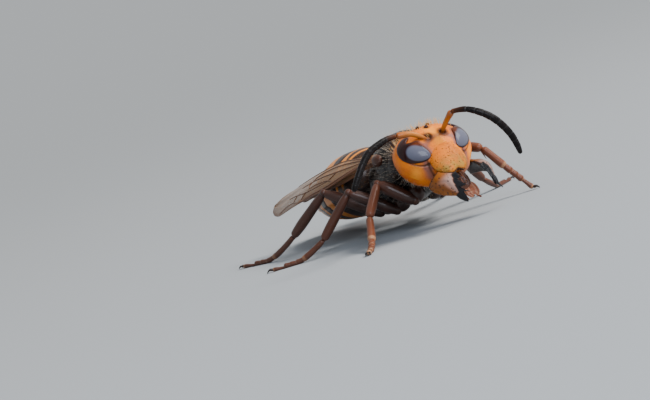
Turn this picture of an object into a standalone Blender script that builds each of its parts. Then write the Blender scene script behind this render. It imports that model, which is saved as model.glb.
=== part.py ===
"""Asian giant hornet, a life-size queen standing on six feet with her head raised.

Every shape is worked out in millimetres in the frame of the head, the thorax or
the ground, and each finished mesh is brought to metres at the end. The hornet
faces -Y, her left side is +X and the floor is z = 0.
"""
import math

import bmesh
import bpy
from mathutils import Matrix, Vector

OBJECT_NAME = "asian_giant_hornet"
MM = 0.001
# Clearance between two nodes, and what a cutter is grown by so that its flat faces keep it.
GAP = 0.3
TRIM = 0.34
EYE_TRIM = 0.42
# Points of one mesh nearer than this, in millimetres, are run together after a Boolean.
MERGE = 0.0005
SHARP_ANGLE = math.radians(35.0)
# Middle of the whole outline on the floor, which becomes the part's origin.
FLOOR_MIDDLE = Vector((0.0, -0.55, 0.0))

# Where the three parts of the body stand, and how far each is tipped nose up.
THORAX_AT = Vector((0.0, -6.0, 8.2))
THORAX_PITCH = math.radians(8.0)
HEAD_IN_THORAX = Vector((0.0, -10.7, 0.3))
HEAD_PITCH = math.radians(35.0)

# Head capsule.
HEAD_HALF_WIDTH = 6.0
HEAD_HALF_DEPTH = 3.35
HEAD_CROWN = 4.45
HEAD_CHIN = 4.7
HEAD_FRONT_ROUNDNESS = 1.0
HEAD_BACK_ROUNDNESS = 0.78
CHIN_TAPER = 0.25
CHEEK_TAPER = 0.06
FACE_NARROWING = 0.09
CROWN_TAPER = 0.12
NAPE_FLAT_FROM = 2.9
NAPE_HOLLOW = 0.9

# Clypeus, the shield of the face.
CLYPEUS_AT = Vector((0.0, -2.75, -2.45))
CLYPEUS_HALF = Vector((2.75, 0.95, 2.7))
CLYPEUS_LOBE = 0.55
OCELLUS_RADIUS = 0.42
OCELLI = (Vector((0.0, -2.6, 3.6)), Vector((0.95, -1.7, 4.5)), Vector((-0.95, -1.7, 4.5)))

# Compound eyes: a kidney laid on the capsule, from the lower tip to the top.
EYE_TIP = Vector((2.55, -3.1, -2.6))
EYE_TOP = Vector((3.5, -1.15, 3.2))
EYE_MIDDLE = Vector((3.95, -1.8, 0.3))
EYE_HALF_WIDTH = 1.6
EYE_BULGE = 0.32
EYE_DEPTH = 0.8
EYE_NOTCH = 0.62
EYE_NOTCH_AT = 0.42
EYE_NOTCH_SPREAD = 0.2
EYE_BOW = 0.55

# Mandibles, by the four corners of the closed right one.
JAW_FRONT_HINGE = Vector((-2.75, -2.45, -4.45))
JAW_REAR_HINGE = Vector((-3.35, 0.75, -4.75))
JAW_INNER_CORNER = Vector((-0.25, -2.9, -5.75))
JAW_TIP = Vector((-0.65, -0.9, -8.5))
JAW_THICKNESS = 1.15
JAW_EDGE_THICKNESS = 0.6
JAW_SWELL = 0.75
JAW_BOW = 0.65
JAW_CORNER_SHARE = 0.42
JAW_SLIMMING = 0.45
JAW_REAR_BOW = Vector((-0.75, 0.25, -0.35))
JAW_ARCH = 0.8
JAW_AHEAD = Vector((0.35, 0.0, -1.0))
# Each tooth: how far down the inner edge it stands, and its length.
JAW_TEETH = ((0.15, 0.2), (0.45, 0.55), (0.75, 0.7))
TOOTH_AIM = Vector((0.9, 0.0, -0.45)).normalized()
TOOTH_ROOT_DEPTH = 0.5
TOOTH_DROP = 0.35
TOOTH_RADII = (0.62, 0.5, 0.1)
HOOK_REACH = Vector((0.4, 0.35, -1.0))
HOOK_RADII = (0.6, 0.5, 0.12)
LEFT_JAW_OPEN = math.radians(52.0)

# Mouthparts in the head's frame: the maxillae, the tongue and four palps by lean and length.
MAXILLAE_AT = Vector((1.15, 0.25, -5.55))
MAXILLAE_HALF = Vector((1.2, 1.0, 1.65))
TONGUE_AT = Vector((1.75, 0.35, -7.4))
TONGUE_HALF = Vector((1.15, 0.42, 1.4))
TONGUE_SQUARENESS = 0.9
PALP_ROOT = Vector((1.15, 0.85, -6.3))
PALP_SPREAD = 0.6
PALPS = ((-0.7, 2.1), (0.75, 2.4), (1.5, 3.0), (-0.2, 2.6))
PALP_RADII = (0.3, 0.28, 0.18)

# Antennae, from the socket outwards. The left one reaches forward, the right one sideways.
LEFT_SCAPE = ((1.25, -2.85, 1.0), (1.7, -4.6, 1.35), (2.08, -6.95, 1.3))
RIGHT_SCAPE = ((-1.3, -2.85, 0.8), (-3.3, -3.55, 2.05), (-5.5, -3.3, 2.75))
LEFT_FLAGELLUM = (
    (2.08, -6.95, 1.3), (3.5, -8.05, 0.2), (5.0, -8.35, -1.3), (6.2, -8.15, -2.7),
    (7.2, -7.5, -4.05), (8.05, -6.5, -5.3), (8.7, -5.2, -6.4), (9.1, -4.0, -7.25),
)
RIGHT_FLAGELLUM = (
    (-5.5, -3.3, 2.75), (-6.8, -3.4, 2.75), (-8.15, -3.45, 2.45), (-10.25, -3.35, 1.8),
    (-11.9, -2.8, 0.7), (-13.2, -1.9, -0.5), (-14.0, -1.25, -1.3), (-14.5, -0.7, -1.75),
)
SCAPE_RADII = (0.34, 0.4, 0.5)
FLAGELLUM_RADII = (0.33, 0.42, 0.5, 0.53, 0.52, 0.5, 0.45, 0.28)
FLAGELLUM_SPLIT = 4

# Thorax: each plate is a swollen oval (middle, half sizes).
PLATES = {
    "pronotum": (Vector((0.0, -4.3, 0.4)), Vector((4.5, 2.9, 3.7))),
    "scutum": (Vector((0.0, -1.3, 1.5)), Vector((4.6, 4.7, 4.0))),
    "scutellum": (Vector((0.0, 3.7, 2.9)), Vector((3.2, 1.9, 2.2))),
    "metanotum": (Vector((0.0, 5.2, 1.7)), Vector((3.0, 1.3, 2.1))),
    "propodeum": (Vector((0.0, 4.2, -0.5)), Vector((4.1, 2.9, 3.8))),
    "breast": (Vector((0.0, -0.4, -0.9)), Vector((4.9, 5.6, 4.1))),
}
TEGULA_AT = Vector((4.45, -1.7, 2.5))
TEGULA_HALF = Vector((0.8, 1.35, 0.9))
PLATE_SQUARENESS = 0.9

# Neck and waist.
NECK_RADIUS = 1.7
NECK_IN_HEAD = Vector((0.0, 0.5, 0.2))
NECK_IN_THORAX = Vector((0.0, -4.5, 0.2))
WAIST_RADIUS = 0.95
WAIST_IN_THORAX = Vector((0.0, 7.0, -1.9))

# Abdomen: its six rings, by where each ends along the axis and how wide it is there.
ABDOMEN_START = 1.55
ABDOMEN_PITCH = math.radians(2.0)
ABDOMEN_DROOP = math.radians(15.0)
ABDOMEN_LENGTH = 22.4
ABDOMEN_RISE = 2.4
ABDOMEN_FLATNESS = 0.84
RING_ENDS = (0.0, 4.7, 10.0, 14.0, 17.3, 20.0, 22.4)
ABDOMEN_HALF_WIDTHS = (
    (0.0, 1.3), (0.35, 2.7), (1.1, 4.1), (2.4, 5.2), (4.7, 5.75), (7.5, 5.95), (10.0, 5.9),
    (12.5, 5.6), (14.0, 5.3), (16.0, 4.75), (17.3, 4.3), (19.0, 3.5), (20.0, 2.9),
    (21.2, 1.95), (22.0, 1.1), (22.4, 0.45),
)
RING_LIP = 0.16
RING_SIDES = 28

# Legs on the left side, by joint; the right ones mirror them save the front leg.
COXAE = {
    "front": (Vector((1.75, -4.6, -3.0)), Vector((2.7, -5.6, -5.2))),
    "middle": (Vector((2.1, -0.6, -3.5)), Vector((3.4, -0.5, -5.5))),
    "hind": (Vector((2.1, 3.2, -3.0)), Vector((3.6, 4.4, -4.9))),
}
COXA_RADII = {"front": (1.25, 0.85), "middle": (1.25, 0.9), "hind": (1.35, 0.9)}
KNEES = {
    "front_left": (6.9, -9.6, 9.4),
    "front_right": (-6.6, -9.4, 8.0),
    "middle": (9.2, -4.6, 7.8),
    "hind": (9.4, 3.4, 8.3),
}
ANKLES = {
    "front_left": (8.9, -13.9, 8.0),
    "front_right": (-10.6, -12.0, 4.2),
    "middle": (14.0, -1.6, 2.3),
    "hind": (13.4, 10.2, 3.1),
}
TOES = {
    "front_left": (13.4, -16.75, 0.25),
    "front_right": (-15.4, -18.6, 0.25),
    "middle": (21.0, 3.4, 0.25),
    "hind": (18.3, 21.2, 0.25),
}
FEMUR_RADII = {"front": (0.62, 0.98, 0.95, 0.6), "middle": (0.6, 0.92, 0.88, 0.58),
               "hind": (0.62, 0.98, 0.9, 0.6)}
TIBIA_RADII = {"front": (0.5, 0.68, 0.72, 0.62), "middle": (0.48, 0.68, 0.7, 0.6),
               "hind": (0.48, 0.72, 0.78, 0.62)}
# Share of the foot that each of its five joints takes, and the radius at its far end.
FOOT_JOINTS = ((0.43, 0.5), (0.13, 0.46), (0.11, 0.44), (0.1, 0.44), (0.23, 0.42))
FOOT_BEND = {"front_left": 0.02, "front_right": 0.3, "middle": 0.45, "hind": 0.42}
# The radius of a foot at the ankle and in the narrow seams between its joints.
FOOT_ROOT_RADIUS = 0.36
FOOT_SEAM_RADIUS = 0.3
FOOT_SEAM_SHARE = 0.02
SOLE_DEPTH = 0.08
CLAW_LENGTH = 0.85
CLAW_RADII = (0.25, 0.17, 0.06)
CLAW_SPREADS = (0.08, 0.26, 0.36)
CLAW_ROOT_DEPTH = 0.25
CLAW_ARCH = 0.12
CLAW_KNUCKLE_LOW = 0.22
CLAW_POINT_HEIGHT = 0.1

# Wings at rest, folded lengthwise over the flanks: root, tip and half width in the ground frame.
WING_ROOT = (4.7, -7.2, 11.45)
WING_TIP = (9.0, 24.4, 7.0)
FORE_WING = {"start": 0.0, "end": 1.0, "half": 2.35, "lift": 0.0, "vein": 0.22}
HIND_WING = {"start": 0.03, "end": 0.7, "half": 1.7, "lift": -1.0, "vein": 0.18}
WING_THICKNESS = 0.5
WING_ROOF = math.radians(40.0)
WING_BOW = 0.9
WING_CAMBER = 0.45
WING_ARCH = 0.55
WING_TIP_FROM = 0.86
WING_ROOT_WIDTH = 0.3
WING_VEINS_AT = (1.0, 0.5, -0.25)
WING_COLUMNS = 8
WING_ROWS = 17

ORANGE = (0.80, 0.33, 0.04, 1.0)
BLACK = (0.012, 0.010, 0.010, 1.0)
BROWN = (0.10, 0.035, 0.015, 1.0)
RUST = (0.32, 0.10, 0.03, 1.0)
EYE_BLACK = (0.03, 0.018, 0.02, 1.0)
SMOKE = (0.22, 0.11, 0.05, 1.0)


def clear_scene():
    """Remove what the startup file holds."""
    for old in list(bpy.data.objects):
        bpy.data.objects.remove(old)


def material(name, colour, roughness, metallic=0.0):
    """A Principled material, made once."""
    made = bpy.data.materials.get(name)
    if made is None:
        made = bpy.data.materials.new(name)
        made.use_nodes = True
        shader = made.node_tree.nodes["Principled BSDF"]
        shader.inputs["Base Color"].default_value = colour
        shader.inputs["Roughness"].default_value = roughness
        shader.inputs["Metallic"].default_value = metallic
    return made


def frame_matrix(at, pitch):
    """Frame at a point, tipped nose up about X."""
    return Matrix.Translation(at) @ Matrix.Rotation(-pitch, 4, "X")


THORAX_FRAME = frame_matrix(THORAX_AT, THORAX_PITCH)
HEAD_FRAME = frame_matrix(THORAX_FRAME @ HEAD_IN_THORAX, HEAD_PITCH)
GROUND = Matrix.Identity(4)


def signed_power(value, power):
    """Keeps the sign while it raises the size to a power."""
    return math.copysign(abs(value) ** power, value)


def smooth_step(low, high, value):
    """0 below low, 1 above high and an easy curve between."""
    share = min(max((value - low) / (high - low), 0.0), 1.0)
    return share * share * (3 - 2 * share)


def between(table, at):
    """Reads a table of (place, value) rows by straight lines."""
    for (low, first), (high, second) in zip(table, table[1:]):
        if at <= high:
            return first + (second - first) * (at - low) / (high - low)
    return table[-1][1]


def object_of(mesh, name, frame=GROUND):
    """Scene object of a bmesh whose points are in a frame; the bmesh is freed."""
    bmesh.ops.recalc_face_normals(mesh, faces=mesh.faces)
    if mesh.calc_volume(signed=True) < 0:
        bmesh.ops.reverse_faces(mesh, faces=mesh.faces)
    data = bpy.data.meshes.new(name)
    mesh.to_mesh(data)
    mesh.free()
    data.transform(frame)
    made = bpy.data.objects.new(name, data)
    bpy.context.scene.collection.objects.link(made)
    return made


def sculpted_ball(name, rule, around=20, rings=12, frame=GROUND):
    """Unit sphere whose every point goes where the rule says."""
    ball = bmesh.new()
    bmesh.ops.create_uvsphere(ball, u_segments=around, v_segments=rings, radius=1.0)
    for vertex in ball.verts:
        vertex.co = rule(vertex.co.copy())
    return object_of(ball, name, frame)


def oval(name, middle, half, squareness=1.0, grow=0.0, around=20, rings=12, frame=GROUND):
    """Ball stretched to half sizes, grown by a clearance when it serves as a cutter."""
    def rule(unit):
        return Vector(
            middle[i] + (half[i] + grow) * signed_power(unit[i], squareness) for i in range(3)
        )
    return sculpted_ball(name, rule, around, rings, frame)


def evaluated_mesh(item, name):
    """Plain object that holds what another's modifiers or bevel make; the other is removed."""
    graph = bpy.context.evaluated_depsgraph_get()
    data = bpy.data.meshes.new_from_object(item.evaluated_get(graph))
    matrix = item.matrix_world.copy()
    bpy.data.objects.remove(item)
    shape = bmesh.new()
    shape.from_mesh(data)
    bmesh.ops.remove_doubles(shape, verts=shape.verts, dist=MERGE)
    bpy.data.meshes.remove(data)
    return object_of(shape, name, matrix)


def tube(name, points, radii, frame=GROUND, sides_step=2, grow=0.0):
    """Round rod of changing thickness with closed ends, along a line of points."""
    curve = bpy.data.curves.new(name, "CURVE")
    curve.dimensions = "3D"
    curve.bevel_depth = 1.0
    curve.bevel_resolution = sides_step
    curve.use_fill_caps = True
    line = curve.splines.new("POLY")
    line.points.add(len(points) - 1)
    for spot, place, radius in zip(line.points, points, radii):
        spot.co = (*(frame @ Vector(place)), 1.0)
        spot.radius = radius + grow
    made = bpy.data.objects.new(name, curve)
    bpy.context.scene.collection.objects.link(made)
    return evaluated_mesh(made, name)


def smoothed(points, radii):
    """Line with a point added on the curve between each two, so that it bends smoothly."""
    places = [Vector(p) for p in points]
    line, sizes = [places[0]], [radii[0]]
    for index in range(len(places) - 1):
        before = places[max(index - 1, 0)]
        first, second = places[index], places[index + 1]
        after = places[min(index + 2, len(places) - 1)]
        line.append((first + second) * 0.5625 - (before + after) * 0.0625)
        line.append(second)
        sizes += [(radii[index] + radii[index + 1]) / 2, radii[index + 1]]
    return line, sizes


def rounded(points, radii, at_start=True, at_end=True, grow=0.0):
    """Adds a short narrow step at the ends of a rod, so that it ends in a dome."""
    points, radii = [Vector(p) for p in points], list(radii)
    if at_start:
        back = (points[0] - points[1]).normalized()
        points.insert(0, points[0] + back * (0.35 * radii[0]))
        radii.insert(0, radii[0] * 0.62)
    if at_end:
        ahead = (points[-1] - points[-2]).normalized()
        points.append(points[-1] + ahead * (0.35 * radii[-1]))
        radii.append(radii[-1] * 0.62)
    if grow:
        points[0] += (points[0] - points[1]).normalized() * grow
        points[-1] += (points[-1] - points[-2]).normalized() * grow
    return points, radii


def boolean(base, others, operation):
    """Joins others to the base, or cuts them away, with one collection Boolean."""
    group = bpy.data.collections.new("cutters")
    bpy.context.scene.collection.children.link(group)
    for other in others:
        bpy.context.scene.collection.objects.unlink(other)
        group.objects.link(other)
        other.hide_render = True
        other.display_type = "WIRE"
    step = base.modifiers.new(operation.lower(), "BOOLEAN")
    step.operand_type = "COLLECTION"
    step.collection = group
    step.operation = operation
    step.solver = "EXACT"
    name = base.name
    base.name = name + "_raw"
    made = evaluated_mesh(base, name)
    for other in others:
        bpy.data.objects.remove(other)
    bpy.data.collections.remove(group)
    keep_largest(made)
    return made


def keep_largest(item):
    """Leaves only the largest closed surface of a mesh."""
    shape = bmesh.new()
    shape.from_mesh(item.data)
    left = set(shape.verts)
    groups = []
    while left:
        queue = [left.pop()]
        group = set(queue)
        while queue:
            for edge in queue.pop().link_edges:
                for vertex in edge.verts:
                    if vertex in left:
                        left.remove(vertex)
                        group.add(vertex)
                        queue.append(vertex)
        groups.append(group)
    groups.sort(key=len)
    loose = [vertex for group in groups[:-1] for vertex in group]
    bmesh.ops.delete(shape, geom=loose, context="VERTS")
    shape.to_mesh(item.data)
    shape.free()


def fuse(base, *others):
    """One closed body from several."""
    return boolean(base, others, "UNION")


def cut(base, *others):
    """The base with others taken away."""
    return boolean(base, others, "DIFFERENCE")


def finish(item, look):
    """Gives a node its material, brings it to metres and files it under the object's name."""
    item.data.transform(Matrix.Scale(MM, 4) @ Matrix.Translation(-FLOOR_MIDDLE))
    item.data.materials.clear()
    item.data.materials.append(look)
    item.data.shade_smooth()
    item.data.set_sharp_from_angle(angle=SHARP_ANGLE)
    bpy.context.scene.collection.objects.unlink(item)
    home = bpy.data.collections.get(OBJECT_NAME)
    if home is None:
        home = bpy.data.collections.new(OBJECT_NAME)
        bpy.context.scene.collection.children.link(home)
    home.objects.link(item)


def head_rule(unit, grow=0.0):
    """Point of the head capsule for a point of the unit sphere, in the head's frame."""
    frontness = smooth_step(-0.35, 0.6, -unit.y)
    power = HEAD_BACK_ROUNDNESS + (HEAD_FRONT_ROUNDNESS - HEAD_BACK_ROUNDNESS) * frontness
    x = (HEAD_HALF_WIDTH + grow) * signed_power(unit.x, power)
    y = (HEAD_HALF_DEPTH + grow) * signed_power(unit.y, power)
    reach = HEAD_CROWN if unit.z > 0 else HEAD_CHIN
    z = (reach + grow) * signed_power(unit.z, power)
    lowness = smooth_step(0.0, HEAD_CHIN, -z)
    highness = smooth_step(1.0, HEAD_CROWN, z)
    taper = CHEEK_TAPER + (CHIN_TAPER - CHEEK_TAPER) * smooth_step(-0.75, 0.3, -unit.y)
    x *= (1.0 - taper * lowness) * (1.0 - FACE_NARROWING * frontness)
    y *= 1.0 - CROWN_TAPER * highness
    flat = NAPE_FLAT_FROM + grow
    if y > flat:
        y = flat + 0.25 * (y - flat)
    hollow = max(0.0, 1.0 - (x / 4.2) ** 2) * max(0.0, 1.0 - (z / 4.2) ** 2)
    if y > 0:
        y -= NAPE_HOLLOW * hollow * smooth_step(0.5, 2.0, y)
    return Vector((x, y, z))


def head_unit(place):
    """Point of the unit sphere that the capsule's rule sends out towards a place."""
    wanted = place.normalized()
    unit = wanted.copy()
    for _ in range(16):
        unit = (unit + (wanted - head_rule(unit).normalized()) * 0.7).normalized()
    return unit


def head_outward(place):
    """Direction that leads straight off the capsule at a place."""
    return Vector((
        place.x / HEAD_HALF_WIDTH ** 2,
        place.y / HEAD_HALF_DEPTH ** 2,
        place.z / HEAD_CROWN ** 2,
    )).normalized()


def eye_rule(side, grow=0.0):
    """Rule for a kidney-shaped eye that lies on the capsule; side is 1 on the left."""
    length = (EYE_TOP - EYE_TIP).normalized()
    half_length = (EYE_TOP - EYE_TIP).length / 2
    outward = head_outward(EYE_MIDDLE)
    across = outward.cross(length).normalized()
    spread = EYE_NOTCH_SPREAD - 0.8 * grow / half_length

    def rule(unit):
        along, wide, deep = unit.z, unit.x, unit.y
        notch = EYE_NOTCH * math.exp(-((along - EYE_NOTCH_AT) / spread) ** 2)
        if wide > 0:
            wide *= 1.0 - notch
        wide = EYE_HALF_WIDTH * wide + EYE_BOW * along * along + grow * unit.x
        place = EYE_MIDDLE + length * ((half_length + grow) * along) + across * wide
        base = head_rule(head_unit(place))
        height = (EYE_BULGE if deep > 0 else EYE_DEPTH) + grow
        made = base + head_outward(base) * (height * deep)
        made.x *= side
        return made
    return rule


def clypeus_rule(unit, grow=0.0):
    """Face shield: narrow above, widest low down, with two blunt lobes at its lower edge."""
    low = smooth_step(-0.1, 0.9, -unit.z)
    narrow = 0.82 + 0.18 * smooth_step(-0.9, 0.5, -unit.z)
    x = (CLYPEUS_HALF.x * narrow + grow) * signed_power(unit.x, 0.8)
    z = (CLYPEUS_HALF.z + grow) * signed_power(unit.z, 0.85)
    lobe = CLYPEUS_LOBE * math.exp(-((abs(x) - 1.05) / 0.6) ** 2) * low
    curl = 0.09 * x * x
    return CLYPEUS_AT + Vector((x, (CLYPEUS_HALF.y + grow) * unit.y + curl, z - lobe))


def make_head():
    """Capsule with the face shield and three ocelli, hollowed for the eyes and kept off the thorax."""
    capsule = sculpted_ball("head", head_rule, 32, 20, HEAD_FRAME)
    extras = [sculpted_ball("clypeus", clypeus_rule, 20, 14, HEAD_FRAME)]
    for index, place in enumerate(OCELLI):
        spot = head_rule(head_unit(place))
        half = Vector((OCELLUS_RADIUS,) * 3)
        extras.append(oval(f"ocellus_{index}", spot, half, around=8, rings=6, frame=HEAD_FRAME))
    head = fuse(capsule, *extras)
    seats = [
        sculpted_ball(f"seat_{side}", eye_rule(side, EYE_TRIM), 16, 14, HEAD_FRAME) for side in (1, -1)
    ]
    return cut(head, *seats, grown_thorax())


def grown_head(name="head_cutter"):
    """The head grown by the gap, to trim what meets it."""
    capsule = sculpted_ball(name, lambda unit: head_rule(unit, TRIM), 32, 20, HEAD_FRAME)
    shield = sculpted_ball("shield", lambda unit: clypeus_rule(unit, TRIM), 20, 14, HEAD_FRAME)
    return fuse(capsule, shield)


def make_eyes():
    """Left and right eye."""
    return [
        sculpted_ball(f"eye_{word}", eye_rule(side), 16, 14, HEAD_FRAME)
        for word, side in (("left", 1), ("right", -1))
    ]


def jaw_edges(share):
    """Front (toothed) edge and rear edge of the closed right mandible at a share of its length."""
    if share < JAW_CORNER_SHARE:
        front = JAW_FRONT_HINGE.lerp(JAW_INNER_CORNER, share / JAW_CORNER_SHARE)
    else:
        past = (share - JAW_CORNER_SHARE) / (1.0 - JAW_CORNER_SHARE)
        front = JAW_INNER_CORNER.lerp(JAW_TIP, past)
    rear = JAW_REAR_HINGE.lerp(JAW_TIP, share)
    rear += JAW_REAR_BOW * (JAW_BOW * math.sin(math.pi * share))
    arch = jaw_outward(front, rear) * (JAW_ARCH * math.sin(math.pi * share))
    return front + arch, rear + arch


def jaw_outward(front, rear):
    """Direction that the outer face of the right mandible looks in, between its two edges."""
    outward = (rear - front).cross(JAW_AHEAD).normalized()
    return -outward if outward.x > 0 else outward


def jaw_matrix(side):
    """Mirror and opening turn of one mandible: the left one is open."""
    if side < 0:
        return Matrix.Identity(4)
    mirror = Matrix.Scale(-1.0, 4, Vector((1.0, 0.0, 0.0)))
    hinge = Vector((-JAW_FRONT_HINGE.x, JAW_FRONT_HINGE.y, JAW_FRONT_HINGE.z))
    far = Vector((-JAW_REAR_HINGE.x, JAW_REAR_HINGE.y, JAW_REAR_HINGE.z))
    turn = Matrix.Rotation(-LEFT_JAW_OPEN, 4, far - hinge)
    return Matrix.Translation(hinge) @ turn @ Matrix.Translation(-hinge) @ mirror


def jaw_blade(name, side):
    """Curved blade of a mandible as a ring of sections from hinge to tip."""
    sections, around = 9, 10
    shape = bmesh.new()
    rings = []
    for row in range(sections):
        share = row / (sections - 1) * 0.97
        front, rear = jaw_edges(share)
        middle = (front + rear) / 2
        across = (rear - front) / 2
        outward = jaw_outward(front, rear)
        thick = JAW_THICKNESS * (1 - JAW_SLIMMING * share)
        ring = []
        for step in range(around):
            turn = 2 * math.pi * step / around
            wide, high = math.cos(turn), math.sin(turn)
            edge = JAW_EDGE_THICKNESS + (thick - JAW_EDGE_THICKNESS) * (1 - wide * wide)
            swell = JAW_SWELL * (1 - wide * wide) * math.sin(math.pi * min(share + 0.15, 1.0))
            place = middle + across * wide + outward * (0.5 * edge * signed_power(high, 0.6) + swell)
            ring.append(shape.verts.new(place))
        rings.append(ring)
    for first, second in zip(rings, rings[1:]):
        for step in range(around):
            after = (step + 1) % around
            shape.faces.new((first[step], first[after], second[after], second[step]))
    shape.faces.new(rings[0])
    shape.faces.new(rings[-1])
    bmesh.ops.triangulate(shape, faces=shape.faces)
    return object_of(shape, name, HEAD_FRAME @ jaw_matrix(side))


def jaw_tooth(name, at, length, side):
    """Blunt tooth on the inner edge of a mandible."""
    front, rear = jaw_edges(JAW_CORNER_SHARE + (1.0 - JAW_CORNER_SHARE) * at)
    inward = (front - rear).normalized()
    down = (JAW_TIP - JAW_INNER_CORNER).normalized()
    point = front + TOOTH_AIM * length + down * TOOTH_DROP
    root = front - inward * TOOTH_ROOT_DEPTH
    return tube(name, (root, front, point), TOOTH_RADII, HEAD_FRAME @ jaw_matrix(side), 1)


def make_jaw(word, side):
    """One mandible: the blade, three teeth and the hooked tip."""
    blade = jaw_blade(f"mandible_{word}", side)
    teeth = [
        jaw_tooth(f"tooth_{index}", at, length, side)
        for index, (at, length) in enumerate(JAW_TEETH)
    ]
    front, rear = jaw_edges(0.86)
    root = (front + rear) / 2
    line = (root, JAW_TIP, JAW_TIP + HOOK_REACH)
    teeth.append(tube("hook", line, HOOK_RADII, HEAD_FRAME @ jaw_matrix(side), 1))
    return fuse(blade, *teeth)


def make_mouthparts():
    """Tongue, maxillae and four feelers between the mandibles."""
    body = oval("mouthparts", MAXILLAE_AT, MAXILLAE_HALF, 1.0, 0.0, 14, 10, HEAD_FRAME)
    tongue = oval("tongue", TONGUE_AT, TONGUE_HALF, TONGUE_SQUARENESS, 0.0, 14, 8, HEAD_FRAME)
    feelers = []
    for index, (lean, reach) in enumerate(PALPS):
        root = PALP_ROOT + Vector((PALP_SPREAD * lean, 0.0, 0.0))
        middle = root + Vector((0.35 * lean, 0.45, -0.5 * reach))
        end = middle + Vector((0.2 * lean, -0.25, -0.5 * reach))
        feelers.append(tube(f"feeler_{index}", (root, middle, end), PALP_RADII, HEAD_FRAME, 1))
    return fuse(body, tongue, *feelers)


def make_antenna(word, scape, flagellum):
    """Scape, and the flagellum in two lengths, each trimmed by the gap where it meets the last."""
    line, sizes = smoothed(flagellum, FLAGELLUM_RADII)
    split = 2 * FLAGELLUM_SPLIT - 1
    lengths = {
        "scape": (scape, SCAPE_RADII, False, True),
        "base": (line[:split], sizes[:split], True, False),
        "tip": (line[split - 1:], sizes[split - 1:], False, True),
    }

    def length(part, tag, grow=0.0):
        return tube(tag, *rounded(*lengths[part], grow), HEAD_FRAME, 2, grow)

    return [
        cut(length("scape", f"antenna_{word}_scape"), grown_head()),
        cut(length("base", f"antenna_{word}_base"), length("scape", "trim", TRIM)),
        cut(length("tip", f"antenna_{word}_tip"), length("base", "trim", TRIM)),
    ]


def plate_ovals(grow=0.0, tag=""):
    """The swollen plates of the thorax."""
    return [
        oval(name + tag, middle, half, PLATE_SQUARENESS, grow, 20, 12, THORAX_FRAME)
        for name, (middle, half) in PLATES.items()
    ]


def make_thorax():
    """The plates, and the two scales over the wing roots, as one body."""
    plates = plate_ovals()
    scales = []
    for side in (1, -1):
        middle = Vector((TEGULA_AT.x * side, TEGULA_AT.y, TEGULA_AT.z))
        scales.append(oval(f"tegula_{side}", middle, TEGULA_HALF, 1.0, 0.0, 12, 8, THORAX_FRAME))
    plates[0].name = "thorax"
    return fuse(plates[0], *plates[1:], *scales)


def grown_thorax():
    """The thorax grown by the gap, to trim what meets it."""
    plates = plate_ovals(TRIM, "_cutter")
    for side in (1, -1):
        middle = Vector((TEGULA_AT.x * side, TEGULA_AT.y, TEGULA_AT.z))
        plates.append(oval(f"tegula_cutter_{side}", middle, TEGULA_HALF, 1.0, TRIM, 12, 8,
                           THORAX_FRAME))
    return fuse(plates[0], *plates[1:])


def make_neck():
    """Short stalk from the back of the head to the front of the thorax."""
    inside = HEAD_FRAME @ NECK_IN_HEAD
    back = THORAX_FRAME @ NECK_IN_THORAX
    middle = inside.lerp(back, 0.55)
    stalk = tube("neck", (inside, middle, back), (NECK_RADIUS,) * 3, GROUND, 3)
    return cut(stalk, grown_head(), grown_thorax())


def abdomen_frame(along):
    """Frame at a distance along the drooping axis of the abdomen."""
    waist = THORAX_FRAME @ WAIST_IN_THORAX
    steps = 24
    place = waist + Vector((0.0, ABDOMEN_START, ABDOMEN_RISE))
    length = max(along, 0.0) / steps
    for index in range(steps):
        share = (index + 0.5) * length / ABDOMEN_LENGTH
        lean = ABDOMEN_PITCH + ABDOMEN_DROOP * share
        place += Vector((0.0, math.cos(lean), -math.sin(lean))) * length
    lean = ABDOMEN_PITCH + ABDOMEN_DROOP * along / ABDOMEN_LENGTH
    return Matrix.Translation(place) @ Matrix.Rotation(-lean, 4, "X")


def make_ring(index, grow=0.0):
    """One ring of the abdomen, from just behind the ring before to its own lipped edge."""
    start = RING_ENDS[index] + (GAP if index else 0.0)
    end = RING_ENDS[index + 1]
    rows = 7 if index < 2 else 5
    shape = bmesh.new()
    loops = []
    for row in range(rows + 1):
        share = row / rows
        if index == 0:
            share = share ** 1.6
        along = start + (end - start) * share
        half = between(ABDOMEN_HALF_WIDTHS, along) + RING_LIP * share + grow
        if index:
            half -= 0.25 * (1 - smooth_step(0.0, 0.25, share))
        frame = abdomen_frame(along)
        loop = []
        for step in range(RING_SIDES):
            turn = 2 * math.pi * step / RING_SIDES
            place = Vector((half * math.cos(turn), 0.0, half * ABDOMEN_FLATNESS * math.sin(turn)))
            loop.append(shape.verts.new(frame @ place))
        loops.append(loop)
    for first, second in zip(loops, loops[1:]):
        bmesh.ops.bridge_loops(shape, edges=loop_edges(shape, first) + loop_edges(shape, second))
    shape.faces.new(loops[0])
    shape.faces.new(loops[-1])
    return object_of(shape, f"abdomen_{index + 1}")


def loop_edges(shape, loop):
    """Edges of a closed loop of vertices, made where they are missing."""
    edges = []
    for first, second in zip(loop, loop[1:] + loop[:1]):
        edges.append(shape.edges.get((first, second)) or shape.edges.new((first, second)))
    return edges


def make_first_ring():
    """First ring of the abdomen with the thin waist that reaches to the thorax."""
    inside = THORAX_FRAME @ (WAIST_IN_THORAX + Vector((0.0, -1.0, 0.0)))
    behind = abdomen_frame(1.2) @ Vector((0.0, 0.0, -ABDOMEN_RISE * 0.45))
    stalk = tube("waist", (inside, behind), (WAIST_RADIUS, WAIST_RADIUS * 1.5), GROUND, 3)
    return cut(fuse(make_ring(0), stalk), grown_thorax())


def mirrored(point, side):
    """Point given on the left, on the side asked for."""
    return Vector((point[0] * side, point[1], point[2]))


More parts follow.
